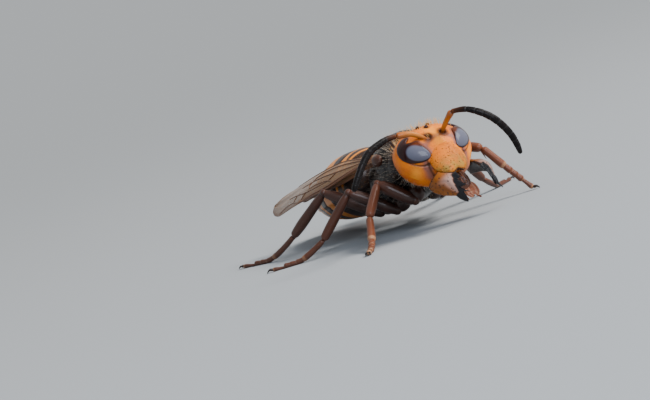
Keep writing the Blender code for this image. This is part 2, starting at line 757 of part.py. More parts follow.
def limb(points, radii):
    """Four stations of a limb between two joints, with its fattest part named."""
    start, end = Vector(points[0]), Vector(points[1])
    return [start, start.lerp(end, 0.3), start.lerp(end, 0.7), end], list(radii)


def foot_line(ankle, toe, bend):
    """Points and radii of the five joints of a foot that bends down to the floor."""
    ankle, toe = Vector(ankle), Vector(toe)
    sag = Vector((0.0, 0.0, -1.0)) * ((ankle.z - toe.z) * bend)
    points, radii = [ankle], [FOOT_ROOT_RADIUS]
    share = 0.0
    for part, radius in FOOT_JOINTS:
        share += part
        for place, size in ((share - FOOT_SEAM_SHARE, radius), (share, FOOT_SEAM_RADIUS)):
            here = ankle.lerp(toe, place) + sag * math.sin(math.pi * place)
            here.z = max(here.z, radius - SOLE_DEPTH)
            points.append(here)
            radii.append(size)
    return points[:-1], radii[:-1]


def make_claws(toe, ahead, tag):
    """Two curved claws at the end of a foot."""
    flat = Vector((ahead.x, ahead.y, 0.0)).normalized()
    sideways = Vector((-flat.y, flat.x, 0.0))
    claws = []
    for side in (1, -1):
        near, middle, far = (sideways * (spread * side) for spread in CLAW_SPREADS)
        root = toe - ahead * CLAW_ROOT_DEPTH + near
        knuckle = toe + flat * (0.45 * CLAW_LENGTH) + middle
        knuckle.z = max(knuckle.z + CLAW_ARCH, CLAW_KNUCKLE_LOW)
        end = toe + flat * CLAW_LENGTH + far
        end.z = CLAW_POINT_HEIGHT
        claws.append(tube(f"claw_{tag}_{side}", (root, knuckle, end), CLAW_RADII, GROUND, 1))
    return claws


def make_leg(pair, word, side):
    """Coxa, femur, tibia and foot of one leg, each trimmed by the gap where it meets the last."""
    name = f"leg_{pair}_{word}"
    key = f"{pair}_{word}" if pair == "front" else pair
    place = (lambda p: Vector(p)) if pair == "front" else (lambda p: mirrored(p, side))
    knee, ankle, toe = place(KNEES[key]), place(ANKLES[key]), place(TOES[key])
    hip, socket = (THORAX_FRAME @ mirrored(p, side) for p in COXAE[pair])

    def coxa(tag, grow=0.0):
        return tube(tag, *rounded((hip, hip.lerp(socket, 0.5), socket),
                                  (COXA_RADII[pair][0], COXA_RADII[pair][0], COXA_RADII[pair][1]),
                                  False, True, grow), GROUND, 2, grow)

    def femur(tag, grow=0.0):
        return tube(tag, *rounded(*limb((socket, knee), FEMUR_RADII[pair]), False, True, grow),
                    GROUND, 2, grow)

    def tibia(tag, grow=0.0):
        return tube(tag, *rounded(*limb((knee, ankle), TIBIA_RADII[pair]), False, True, grow),
                    GROUND, 2, grow)

    points, radii = foot_line(ankle, toe, FOOT_BEND[key])
    foot = tube(f"{name}_foot", points, radii, GROUND, 1)
    foot = fuse(foot, *make_claws(points[-1], (points[-1] - points[-2]).normalized(), name))
    made = [
        cut(coxa(f"{name}_coxa"), grown_thorax()),
        cut(femur(f"{name}_femur"), coxa("trim", TRIM), grown_thorax()),
        cut(tibia(f"{name}_tibia"), femur("trim", TRIM)),
        cut(foot, tibia("trim", TRIM), floor_block()),
    ]
    return made


def floor_block():
    """Block under the floor that planes the soles flat."""
    block = bmesh.new()
    bmesh.ops.create_cube(block, size=80.0)
    bmesh.ops.translate(block, verts=block.verts, vec=(0.0, 0.0, -40.0))
    return object_of(block, "floor_block")


def wing_point(wing, side, along, across):
    """Point of a folded wing: along from root to tip, across from its fold to its leading edge."""
    far = wing["start"] + (wing["end"] - wing["start"]) * along
    spine = Vector(WING_ROOT).lerp(Vector(WING_TIP), far)
    spine.x += WING_BOW * math.sin(math.pi * far)
    spine.z += WING_ARCH * math.sin(math.pi * min(far * 1.15, 1.0))
    past = max(along - WING_TIP_FROM, 0.0) / (1.0 - WING_TIP_FROM)
    round_tip = max(math.sqrt(max(1.0 - past ** 2, 0.0)), 0.12)
    root_tip = WING_ROOT_WIDTH + (1.0 - WING_ROOT_WIDTH) * smooth_step(0.0, 0.4, along)
    half = wing["half"] * root_tip * round_tip
    outward = Vector((math.sin(WING_ROOF), 0.0, math.cos(WING_ROOF)))
    down = Vector((math.cos(WING_ROOF), 0.0, -math.sin(WING_ROOF)))
    spine += down * (half * across)
    camber = WING_CAMBER * (half * across / FORE_WING["half"]) ** 2
    spine += outward * (wing["lift"] - camber)
    spine.x *= side
    return spine


def vein_height(wing, along, across):
    """How far a vein stands out of the membrane."""
    on_vein = any(abs(across - vein) < 0.02 for vein in WING_VEINS_AT)
    return wing["vein"] * (1.0 - 0.6 * along) if on_vein else 0.0


def make_wing(name, wing, side):
    """Folded wing: two like-split faces, with its main veins raised in the outer one."""
    shape = bmesh.new()
    outward = Vector((math.sin(WING_ROOF) * side, 0.0, math.cos(WING_ROOF)))
    sheets = []
    for direction in (1, -1):
        grid = []
        for row in range(WING_ROWS + 1):
            line = []
            for column in range(WING_COLUMNS + 1):
                along, across = row / WING_ROWS, 2 * column / WING_COLUMNS - 1
                place = wing_point(wing, side, along, across)
                place += outward * (direction * WING_THICKNESS / 2)
                if direction > 0:
                    place += outward * vein_height(wing, along, across)
                line.append(shape.verts.new(place))
            grid.append(line)
        sheets.append(grid)
    for grid in sheets:
        for row in range(WING_ROWS):
            for column in range(WING_COLUMNS):
                a, b = grid[row][column], grid[row][column + 1]
                c, d = grid[row + 1][column + 1], grid[row + 1][column]
                shape.faces.new((a, b, c))
                shape.faces.new((a, c, d))
    top, bottom = (border(grid) for grid in sheets)
    for index, vertex in enumerate(top):
        after = (index + 1) % len(top)
        shape.faces.new((vertex, top[after], bottom[after]))
        shape.faces.new((vertex, bottom[after], bottom[index]))
    return cut(object_of(shape, name), grown_thorax())


def border(grid):
    """Vertices round the edge of a grid, in order."""
    return (
        grid[0]
        + [row[-1] for row in grid[1:]]
        + grid[-1][-2::-1]
        + [row[0] for row in grid[-2:0:-1]]
    )


def main():
    """Builds every node."""
    clear_scene()
    orange = material("orange_cuticle", ORANGE, 0.38)
    black = material("black_cuticle", BLACK, 0.3)
    brown = material("brown_cuticle", BROWN, 0.35)
    rust = material("rust_cuticle", RUST, 0.4)
    glossy = material("eye_lens", EYE_BLACK, 0.12)
    smoke = material("wing_membrane", SMOKE, 0.35)

    finish(make_head(), orange)
    for eye in make_eyes():
        finish(eye, glossy)
    for word, side in (("left", 1), ("right", -1)):
        finish(cut(make_jaw(word, side), grown_head()), orange)
    finish(cut(make_mouthparts(), grown_head()), rust)
    for word, scape, flagellum in (
        ("left", LEFT_SCAPE, LEFT_FLAGELLUM), ("right", RIGHT_SCAPE, RIGHT_FLAGELLUM)
    ):
        first, near, far = make_antenna(word, scape, flagellum)
        finish(first, rust)
        finish(near, black)
        finish(far, black)
    finish(make_thorax(), black)
    finish(make_neck(), brown)
    finish(make_first_ring(), black)
    for index in range(1, len(RING_ENDS) - 1):
        finish(make_ring(index), orange if index % 2 else black)
    for pair in COXAE:
        for word, side in (("left", 1), ("right", -1)):
            for piece in make_leg(pair, word, side):
                finish(piece, rust if pair == "front" else brown)
    for word, side in (("left", 1), ("right", -1)):
        finish(make_wing(f"wing_fore_{word}", FORE_WING, side), smoke)
        finish(make_wing(f"wing_hind_{word}", HIND_WING, side), smoke)


main()
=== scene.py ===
"""Dresses the solids of an Asian giant hornet: cuticle, eyes, feelers, wings and hair.

Forms are worked out in millimetres, in the frame of the head, the thorax or the
ground, by the same rules as the solids, and each mesh is brought to metres when
it is finished. The hornet faces -Y and its left side is +X.

A skin is made of rings of points. Each point carries painted values: across and
along are its place on the skin's unwrap, band, dusk and a third tint choose among
the colours of its finish, and fur and beard say how thick the hair stands. On the
head, eyes, mandibles, feelers and mouthparts some of these colours are painted
shade, painted highlights and painted reflections.
"""
from __future__ import annotations

import logging
import math
from dataclasses import dataclass, field, replace
from enum import Enum
from typing import Callable, Iterable, Sequence, Union

import bmesh
import bpy
from mathutils import Matrix, Vector, noise

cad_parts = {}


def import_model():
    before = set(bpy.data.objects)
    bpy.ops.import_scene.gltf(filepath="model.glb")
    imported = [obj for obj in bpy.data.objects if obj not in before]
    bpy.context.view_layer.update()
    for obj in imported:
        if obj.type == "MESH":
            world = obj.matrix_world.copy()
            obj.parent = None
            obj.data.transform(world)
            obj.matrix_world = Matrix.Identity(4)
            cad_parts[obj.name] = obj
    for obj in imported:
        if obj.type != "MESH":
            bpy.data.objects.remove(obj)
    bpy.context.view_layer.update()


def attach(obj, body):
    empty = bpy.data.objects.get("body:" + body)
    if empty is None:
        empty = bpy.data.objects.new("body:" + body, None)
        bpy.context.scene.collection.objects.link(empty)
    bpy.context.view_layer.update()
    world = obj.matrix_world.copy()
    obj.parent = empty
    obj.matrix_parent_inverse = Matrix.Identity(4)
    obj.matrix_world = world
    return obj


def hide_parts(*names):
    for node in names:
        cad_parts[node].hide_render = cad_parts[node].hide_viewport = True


LOG = logging.getLogger("hornet")
MM = 0.001
BODY = "root"

Triple = tuple[float, float, float]
Colour = Triple
Paint = dict[str, float]
Spot = tuple[Vector, Paint]
Rows = list[list[Spot]]
BallRule = Callable[[Vector], Spot]
RodPaint = Callable[[float, float, Vector], Paint]
Skins = dict[str, bpy.types.Object]
Socket = bpy.types.NodeSocket
Source = Union["Signal", Socket, object]


class Named(Enum):
    """Choice among parts of the hornet that have a name in its nodes."""

    @property
    def word(self) -> str:
        """Name used in the nodes."""
        return self.name.lower()


class Side(Named):
    """Which side of the hornet a piece is on."""

    LEFT = 1
    RIGHT = -1

    def of(self, place: Triple) -> Vector:
        """A place of the left side, brought to this side."""
        return Vector((place[0] * self.value, *place[1:]))


def signed_power(value: float, power: float) -> float:
    """Keeps the sign of a value while it raises its size to a power."""
    return math.copysign(abs(value) ** power, value)


def ramp(low: float, high: float, value: float) -> float:
    """Gives 0 below low, 1 above high and an easy curve between."""
    share = min(max((value - low) / (high - low), 0.0), 1.0)
    return share * share * (3 - 2 * share)


def bell(value: float, middle: float, width: float) -> float:
    """Gives 1 at the middle and fades to 0 over a width on each side."""
    return math.exp(-(((value - middle) / width) ** 2))


def grain(place: Vector, per_mm: float, seed: float = 0.0) -> float:
    """Smooth noise between -1 and 1 at a place in millimetres."""
    return noise.noise(place * per_mm + Vector((seed, seed * 0.7, -seed)))


def tipped(at: Vector, pitch: float) -> Matrix:
    """Frame at a point, tipped nose up about X by an angle in radians."""
    return Matrix.Translation(at) @ Matrix.Rotation(-pitch, 4, "X")


def into_scene(name: str, data: bpy.types.ID) -> bpy.types.Object:
    """Makes an object of some data and links it to the scene."""
    made = bpy.data.objects.new(name, data)
    bpy.context.scene.collection.objects.link(made)
    return made


def paint_points(data: bpy.types.Mesh, key: str, values: Sequence[float]) -> None:
    """Writes one painted value on every point of a mesh."""
    data.attributes.new(key, "FLOAT", "POINT").data.foreach_set("value", values)


def evaluated_mesh(holder: bpy.types.Object) -> bpy.types.Mesh:
    """Plain mesh of an object with its modifiers worked out."""
    return bpy.data.meshes.new_from_object(holder.evaluated_get(bpy.context.evaluated_depsgraph_get()))


def circle(count: int) -> list[tuple[float, float]]:
    """Equal steps round a circle, each by its share of the turn and its angle."""
    return [(step / count, 2 * math.pi * step / count) for step in range(count)]


def all_over(**values: float) -> RodPaint:
    """Paint that is the same everywhere on a rod."""
    return lambda share, turn, place: values


@dataclass
class Stance:
    """How the body stands: the frames of the thorax, the head and the ground."""

    thorax_at: Triple = (0.0, -6.0, 8.2)
    thorax_pitch: float = math.radians(8.0)
    head_in_thorax: Triple = (0.0, -10.7, 0.3)
    head_pitch: float = math.radians(35.0)
    floor_middle: Triple = (0.0, -0.55, 0.0)

    @property
    def ground(self) -> Matrix:
        """Frame of the legs and wings."""
        return Matrix.Translation(-Vector(self.floor_middle))

    @property
    def thorax(self) -> Matrix:
        """Frame of the thorax."""
        return self.ground @ tipped(Vector(self.thorax_at), self.thorax_pitch)

    @property
    def head(self) -> Matrix:
        """Frame of the head."""
        return tipped(self.thorax @ Vector(self.head_in_thorax), self.head_pitch)


STANCE = Stance()


class NodeBench:
    """Adds nodes to one tree of shader or geometry nodes."""

    def __init__(self, tree: bpy.types.NodeTree) -> None:
        """Keeps the tree."""
        self.tree = tree

    def fill(self, target: Socket, value: Source) -> None:
        """Links an input or sets its value.

        Args:
            target: The input.
            value: Signal, link or value, a colour without its alpha.
        """
        if isinstance(value, Signal):
            value = value.socket
        if isinstance(value, Socket):
            self.tree.links.new(value, target)
        else:
            target.default_value = (*value, 1.0) if target.type == "RGBA" else value

    def node(self, kind: str, values: dict[Union[int, str], Source], **settings: str) -> bpy.types.Node:
        """Adds a node, makes its settings and then fills its sockets.

        Args:
            kind: The node's type.
            values: Values or links by socket name or index.
            settings: Properties of the node by name.

        Returns:
            The new node.
        """
        made = self.tree.nodes.new(kind)
        for key, value in settings.items():
            setattr(made, key, value)
        for key, value in values.items():
            self.fill(made.inputs[key], value)
        return made


class Signal:
    """A changing shader value that Python expressions can be written on."""

    def __init__(self, recipe: "Recipe", socket: Socket) -> None:
        """Wraps a socket of a material that is being made."""
        self.recipe = recipe
        self.socket = socket

    def combine(self, operation: str, first: Source, second: Source) -> "Signal":
        """Adds one Math node and gives its result."""
        made = self.recipe.node("ShaderNodeMath", {0: first, 1: second}, operation=operation)
        return Signal(self.recipe, made.outputs[0])

    def __add__(self, other: Source) -> "Signal":
        """Sum."""
        return self.combine("ADD", self, other)

    def __mul__(self, other: Source) -> "Signal":
        """Product."""
        return self.combine("MULTIPLY", self, other)

    def __sub__(self, other: Source) -> "Signal":
        """Difference."""
        return self.combine("SUBTRACT", self, other)

    def __rsub__(self, other: Source) -> "Signal":
        """Difference from a value on the left."""
        return self.combine("SUBTRACT", other, self)

    __radd__ = __add__
    __rmul__ = __mul__

    def between(self, low: float, high: float) -> "Signal":
        """Smooth step from 0 at low to 1 at high."""
        values = {"Value": self, "From Min": low, "From Max": high}
        made = self.recipe.node("ShaderNodeMapRange", values, interpolation_type="SMOOTHSTEP")
        return Signal(self.recipe, made.outputs["Result"])


class Recipe(NodeBench):
    """Node tree of one material under construction."""

    def __init__(self, name: str) -> None:
        """Starts a Principled material with object coordinates in millimetres.

        Args:
            name: The material's name.
        """
        self.material = bpy.data.materials.new(name)
        self.material.use_nodes = True
        super().__init__(self.material.node_tree)
        self.shader = self.tree.nodes["Principled BSDF"]
        place = self.node("ShaderNodeTexCoord", {}).outputs["Object"]
        scaled = self.node("ShaderNodeVectorMath", {0: place, "Scale": 1.0 / MM}, operation="SCALE")
        self.place = scaled.outputs["Vector"]

    def painted(self, name: str) -> Signal:
        """Value painted on the mesh's points under a name."""
        return Signal(self, self.node("ShaderNodeAttribute", {}, attribute_name=name).outputs["Fac"])

    def clouds(self, per_mm: float, detail: float = 3.0) -> Signal:
        """Noise between 0 and 1 with a number of features per millimetre."""
        values = {"Vector": self.place, "Scale": per_mm, "Detail": detail}
        return Signal(self, self.node("ShaderNodeTexNoise", values).outputs["Fac"])

    def cells(self, per_mm: float) -> Signal:
        """Distance to the nearest of many scattered points, in cells."""
        values = {"Vector": self.place, "Scale": per_mm}
        return Signal(self, self.node("ShaderNodeTexVoronoi", values).outputs["Distance"])

    def blend(self, mask: Source, first: Union[Socket, Colour], second: Union[Socket, Colour]) -> Socket:
        """Mixes two colours, the first where the mask is 0 and the second where it is 1."""
        return self.node("ShaderNodeMix", {0: mask, 6: first, 7: second}, data_type="RGBA").outputs[2]

    def feed(self, values: dict[str, Source]) -> None:
        """Links or sets the Principled shader's inputs, by name."""
        for name, value in values.items():
            self.fill(self.shader.inputs[name], value)

    def relief(self, height: Signal, depth_mm: float, strength: float = 1.0) -> None:
        """Feeds a height pattern to the shader's normal.

        Args:
            height: Height from 0 to 1.
            depth_mm: What a height of 1 is worth.
            strength: Share of the effect that is used.
        """
        values = {"Strength": strength, "Distance": depth_mm * MM, "Height": height}
        self.feed({"Normal": self.node("ShaderNodeBump", values).outputs["Normal"]})


@dataclass(frozen=True)
class Cuticle:
    """Horny skin in up to four colours, with mottling, pits and gloss.

    The points' painted values choose the colours: band for the second colour,
    dusk for the darkest one and a third tint for the palest. On some pieces these
    colours are painted shade, painted highlights and painted reflections.
    """

    name: str
    slot: str
    base: Colour
    mottle: Colour
    band: Colour
    dusk: Colour
    bloom: Colour = (0.6, 0.5, 0.45)
    roughness: float = 0.35
    roughness_spread: float = 0.15
    pits_per_mm: float = 5.0
    pit_depth: float = 0.015
    pit_stain: float = 0.25
    coat: float = 0.25
    shine: float = 0.4
    glow: float = 0.0

    def build(self) -> bpy.types.Material:
        """Makes the material.

        Returns:
            The finished material.
        """
        recipe = Recipe(self.name)
        broad, fine = recipe.clouds(0.55), recipe.clouds(4.0)
        colour = recipe.blend((broad * 0.65 + fine * 0.35).between(0.38, 0.66), self.base, self.mottle)
        for mask, tint in (("band", self.band), ("bloom", self.bloom), ("dusk", self.dusk)):
            colour = recipe.blend(recipe.painted(mask), colour, tint)
        pits = 1.0 - recipe.cells(self.pits_per_mm).between(0.1, 0.34)
        recipe.feed({
            "Base Color": recipe.blend(pits * self.pit_stain, colour, self.dusk),
            "Roughness": fine * self.roughness_spread + (self.roughness - self.roughness_spread / 2),
            "Coat Weight": self.coat, "Coat Roughness": 0.16, "Specular IOR Level": self.shine,
        })
        if self.glow:
            recipe.feed({"Subsurface Weight": self.glow, "Subsurface Radius": (1.0, 0.35, 0.1),
                         "Subsurface Scale": 0.5 * MM})
        recipe.relief(recipe.clouds(14.0, 2.0) * 0.35 - pits, self.pit_depth)
        return recipe.material


@dataclass(frozen=True)
class Lens:
    """Compound eye or ocellus: near black under a hard gloss, with fine facets."""

    name: str
    slot: str = "eye_lens"
    base: Colour = (0.020, 0.006, 0.006)
    sheen: Colour = (0.030, 0.009, 0.008)
    patch: Colour = (0.11, 0.026, 0.008)
    # Painted reflection of the sky: the pale blue-grey laid over the eye's lower front.
    haze: Colour = (0.115, 0.130, 0.185)
    facets_per_mm: float = 22.0

    def build(self) -> bpy.types.Material:
        """Makes the material, with painted band for the notch and a painted reflection of the sky on the pale
        field.

        Returns:
            The finished material.
        """
        recipe = Recipe(self.name)
        broad = recipe.clouds(0.5)
        mottled = recipe.blend(broad.between(0.35, 0.65), self.base, self.sheen)
        notched = recipe.blend(recipe.painted("band"), mottled, self.patch)
        recipe.feed({
            "Base Color": recipe.blend(recipe.painted("bloom"), notched, self.haze),
            "Roughness": broad * 0.1 + 0.16,
            "Coat Weight": 0.3, "Coat Roughness": 0.06, "Specular IOR Level": 0.12,
        })
        recipe.relief(1.0 - recipe.cells(self.facets_per_mm), 0.004, 0.35)
        return recipe.material


@dataclass(frozen=True)
class Film:
    """Smoky wing membrane with fine pleats, browner towards its leading edge."""

    name: str
    slot: str = "wing_membrane"
    base: Colour = (0.30, 0.15, 0.055)
    edge: Colour = (0.16, 0.065, 0.025)
    clearness: float = 0.42

    def build(self) -> bpy.types.Material:
        """Makes the material.

        Returns:
            The finished material.
        """
        recipe = Recipe(self.name)
        broad, fine = recipe.clouds(0.8), recipe.clouds(9.0)
        band = recipe.painted("band")
        recipe.feed({
            "Base Color": recipe.blend(band, self.base, self.edge),
            "Alpha": band * 0.35 + broad * 0.2 + (0.9 - self.clearness),
            "Roughness": fine * 0.12 + 0.24, "Coat Weight": 0.3,
        })
        recipe.relief(fine * 0.6 + broad * 0.4, 0.02, 0.6)
        return recipe.material


@dataclass(frozen=True)
class Bristle:
    """Stuff of hairs: one colour with a darker variant."""

    name: str
    slot: str
    base: Colour
    deep: Colour
    roughness: float = 0.42

    def build(self) -> bpy.types.Material:
        """Makes the material.

        Returns:
            The finished material.
        """
        recipe = Recipe(self.name)
        recipe.feed({
            "Base Color": recipe.blend(recipe.clouds(1.7), self.base, self.deep),
            "Roughness": recipe.clouds(3.0) * 0.1 + self.roughness,
        })
        return recipe.material


class Palette:
    """Every finish on the hornet, each made once when it is first asked for."""

    FINISHES = {
        # On the head the band colour is the golden face and also a painted highlight on the lower cheeks, the
        # dark colour is also painted shade in the sockets and behind the cheeks, and the mauve tint is a
        # painted reflection.
        "head": Cuticle(
            "head_cuticle", "orange_cuticle", base=(0.74, 0.18, 0.004), mottle=(0.56, 0.115, 0.004),
            band=(0.86, 0.29, 0.014), dusk=(0.045, 0.014, 0.006), bloom=(0.235, 0.085, 0.062),
            roughness=0.38, pits_per_mm=3.2, pit_depth=0.014, pit_stain=0.16, coat=0.06, shine=0.18,
            glow=0.08,
        ),
        "clypeus": Cuticle(
            "clypeus_cuticle", "orange_cuticle", base=(0.74, 0.18, 0.004), mottle=(0.56, 0.12, 0.006),
            band=(0.80, 0.24, 0.014), dusk=(0.04, 0.012, 0.005), bloom=(0.36, 0.19, 0.03),
            roughness=0.45, pits_per_mm=2.8, pit_depth=0.05, pit_stain=0.9, coat=0.05, shine=0.22, glow=0.06,
        ),
        # The mandible's grey-pink tint is a painted sheen on the blade.
        "jaw": Cuticle(
            "mandible_cuticle", "orange_cuticle", base=(0.19, 0.052, 0.006), mottle=(0.12, 0.032, 0.006),
            band=(0.30, 0.090, 0.006), dusk=(0.006, 0.006, 0.008), bloom=(0.40, 0.245, 0.205),
            roughness=0.24, pits_per_mm=2.2, pit_depth=0.05, pit_stain=0.85, coat=0.28, shine=0.15,
        ),
        "black": Cuticle(
            "black_cuticle", "black_cuticle", base=(0.005, 0.003, 0.003), mottle=(0.010, 0.006, 0.005),
            band=(0.16, 0.05, 0.016), dusk=(0.004, 0.004, 0.004), bloom=(0.10, 0.05, 0.03),
            roughness=0.28, pits_per_mm=6.0, pit_depth=0.02, pit_stain=0.2, coat=0.15, shine=0.3,
        ),
        "banded": Cuticle(
            "banded_cuticle", "amber_cuticle", base=(0.012, 0.006, 0.005), mottle=(0.024, 0.010, 0.006),
            band=(0.68, 0.22, 0.012), dusk=(0.26, 0.075, 0.010), bloom=(0.60, 0.24, 0.05),
            roughness=0.33, pits_per_mm=7.0, pit_depth=0.012, pit_stain=0.14, coat=0.15, shine=0.35,
        ),
        "leg": Cuticle(
            "leg_cuticle", "brown_cuticle", base=(0.018, 0.008, 0.006), mottle=(0.034, 0.012, 0.008),
            band=(0.145, 0.042, 0.018), dusk=(0.006, 0.004, 0.004), bloom=(0.50, 0.27, 0.14),
            roughness=0.34, pits_per_mm=7.0, pit_depth=0.016, pit_stain=0.3, coat=0.15, shine=0.35,
        ),
        "scape": Cuticle(
            "scape_cuticle", "rust_cuticle", base=(0.30, 0.070, 0.005), mottle=(0.18, 0.040, 0.005),
            band=(0.52, 0.17, 0.012), dusk=(0.04, 0.012, 0.006), bloom=(0.6, 0.3, 0.1),
            roughness=0.36, pits_per_mm=8.0, pit_depth=0.012, pit_stain=0.2, coat=0.25,
        ),
        # The feeler's grey tint is a painted sheen on the rims of its joints.
        "feeler": Cuticle(
            "feeler_cuticle", "black_cuticle", base=(0.005, 0.004, 0.004), mottle=(0.010, 0.007, 0.007),
            band=(0.12, 0.035, 0.012), dusk=(0.003, 0.003, 0.003), bloom=(0.03, 0.027, 0.027),
            roughness=0.26, pits_per_mm=12.0, pit_depth=0.008, pit_stain=0.3, coat=0.0, shine=0.14,
        ),
        # On the mouthparts the band colour and the third tint are a painted highlight on the fold tops, and
        # the dark colour deepens as painted shade in the grooves.
        "flesh": Cuticle(
            "mouth_flesh", "rust_cuticle", base=(0.42, 0.13, 0.06), mottle=(0.30, 0.08, 0.04),
            band=(0.60, 0.26, 0.15), dusk=(0.045, 0.020, 0.014), bloom=(0.30, 0.15, 0.10),
            roughness=0.40, pits_per_mm=7.0, pit_depth=0.02, pit_stain=0.2, coat=0.2, glow=0.2,
        ),
        "lens": Lens("eye_facets"),
        "film": Film("smoky_film"),
        "vein": Cuticle(
            "wing_vein", "wing_membrane", base=(0.15, 0.055, 0.020), mottle=(0.10, 0.035, 0.014),
            band=(0.30, 0.12, 0.035), dusk=(0.04, 0.015, 0.008), roughness=0.38, pits_per_mm=9.0,
            pit_depth=0.01, coat=0.15,
        ),
        "golden_hair": Bristle("golden_hair", "orange_cuticle", (0.80, 0.44, 0.12), (0.55, 0.26, 0.06)),
        "silver_hair": Bristle("silver_hair", "black_cuticle", (0.62, 0.53, 0.43), (0.28, 0.20, 0.14)),
        "brown_hair": Bristle("brown_hair", "brown_cuticle", (0.06, 0.03, 0.018), (0.02, 0.012, 0.009)),
    }

    def __init__(self) -> None:
        """Starts with nothing made."""
        self._made: dict[str, bpy.types.Material] = {}

    def material(self, key: str) -> bpy.types.Material:
        """Material of a finish.

        Args:
            key: Its key in FINISHES.

        Returns:
            The one material of that finish.
        """
        if key not in self._made:
            self._made[key] = self.FINISHES[key].build()
        return self._made[key]

    def slot(self, key: str) -> str:
        """Record slot of a finish."""
        return self.FINISHES[key].slot


class Shape:
    """Points, faces and painted values of a mesh under construction, in millimetres."""

    def __init__(self) -> None:
        """Starts empty."""
        self.spots: list[Spot] = []
        self.faces: list[tuple[int, ...]] = []

    def add_rows(self, rows: Rows) -> "Shape":
        """Adds a closed skin made of rings of points, where a ring of one point is a pole.

        Args:
            rows: The points, ring by ring.

        Returns:
            This shape.
        """
        numbered = []
        for row in rows:
            numbered.append(range(len(self.spots), len(self.spots) + len(row)))
            self.spots.extend(row)
        for first, second in zip(numbered, numbered[1:]):
            for step in range(max(len(first), len(second))):
                corners = (first[step % len(first)], first[(step + 1) % len(first)],
                           second[(step + 1) % len(second)], second[step % len(second)])
                self.faces.append(tuple(dict.fromkeys(corners)))
        return self

    def add_capped(self, rows: Rows) -> "Shape":
        """Adds a skin made of rings, with a pole in the middle of the first and the last one."""
        ends = (rows[0], rows[-1])
        first, last = ([(sum((place for place, _ in row), Vector()) / len(row), row[0][1])] for row in ends)
        return self.add_rows([first, *rows, last])

    def add_ball(self, rule: BallRule, around: int, rings: int) -> "Shape":
        """Adds a sculpted ball.

        Args:
            rule: Gives the place and paint for a point of the unit sphere.
            around: Points in a ring.
            rings: Rings from pole to pole.

        Returns:
            This shape.
        """
        rows: Rows = []
        for ring in range(rings + 1):
            tilt = math.pi * ring / rings
            row = []
            for across, turn in circle(around)[:1 if ring in (0, rings) else around]:
                wide = math.sin(tilt)
                place, paint = rule(Vector((wide * math.cos(turn), wide * math.sin(turn), math.cos(tilt))))
                row.append((place, {"across": across, "along": ring / rings, **paint}))
            rows.append(row)
        return self.add_rows(rows)

    def add_rod(self, points: Sequence[Sequence[float]], radii: Sequence[float], sides: int, spacing: float,
                **rules: Callable) -> "Shape":
        """Adds a rod through points, where rules are its profile and its paint if it has any."""
        return self.add_rows(Rod(Line(points, radii), sides, spacing, **rules).rows())

    def mesh(self, name: str, frame: Matrix) -> bpy.types.Mesh:
        """Mesh in metres with its painted values as attributes.

        Args:
            name: The mesh's name.
            frame: Frame that the points are in.

        Returns:
            The mesh, with its faces outwards.
        """
        data = bpy.data.meshes.new(name)
        data.from_pydata([frame @ place * MM for place, _ in self.spots], [], self.faces)
        for key in sorted({key for _, paint in self.spots for key in paint}):
            paint_points(data, key, [paint.get(key, 0.0) for _, paint in self.spots])
        shape = bmesh.new()
        shape.from_mesh(data)
        bmesh.ops.recalc_face_normals(shape, faces=shape.faces)
        if shape.calc_volume(signed=True) < 0:
            bmesh.ops.reverse_faces(shape, faces=shape.faces)
        shape.to_mesh(data)
        shape.free()
        data.shade_smooth()
        return data


class Workshop:
    """Turns finished meshes into pieces of the scene."""

    def __init__(self, palette: Palette) -> None:
        """Keeps the palette that pieces are dressed from."""
        self.palette = palette

    def piece(self, name: str, data: bpy.types.Mesh, finish: str,
              replaces: Iterable[str] = ()) -> bpy.types.Object:
        """Adds a piece to the scene.

        Args:
            name: The piece's name.
            data: Its mesh, in metres and in place.
            finish: Key of its finish.
            replaces: Nodes that it stands for.

        Returns:
            The new object.
        """
        made = into_scene(name, data)
        data.materials.clear()
        data.materials.append(self.palette.material(finish))
        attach(made, BODY)
        self.palette.slot(finish)
        if replaces:
            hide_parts(*replaces)
        LOG.info("%s: %d faces", name, len(data.polygons))
        return made

    def form(self, name: str, shape: Shape, frame: Matrix, finish: str, *replaces: str) -> bpy.types.Object:
        """Adds a piece made of a shape in a frame, which may stand for some nodes."""
        return self.piece(name, shape.mesh(name, frame), finish, replaces)


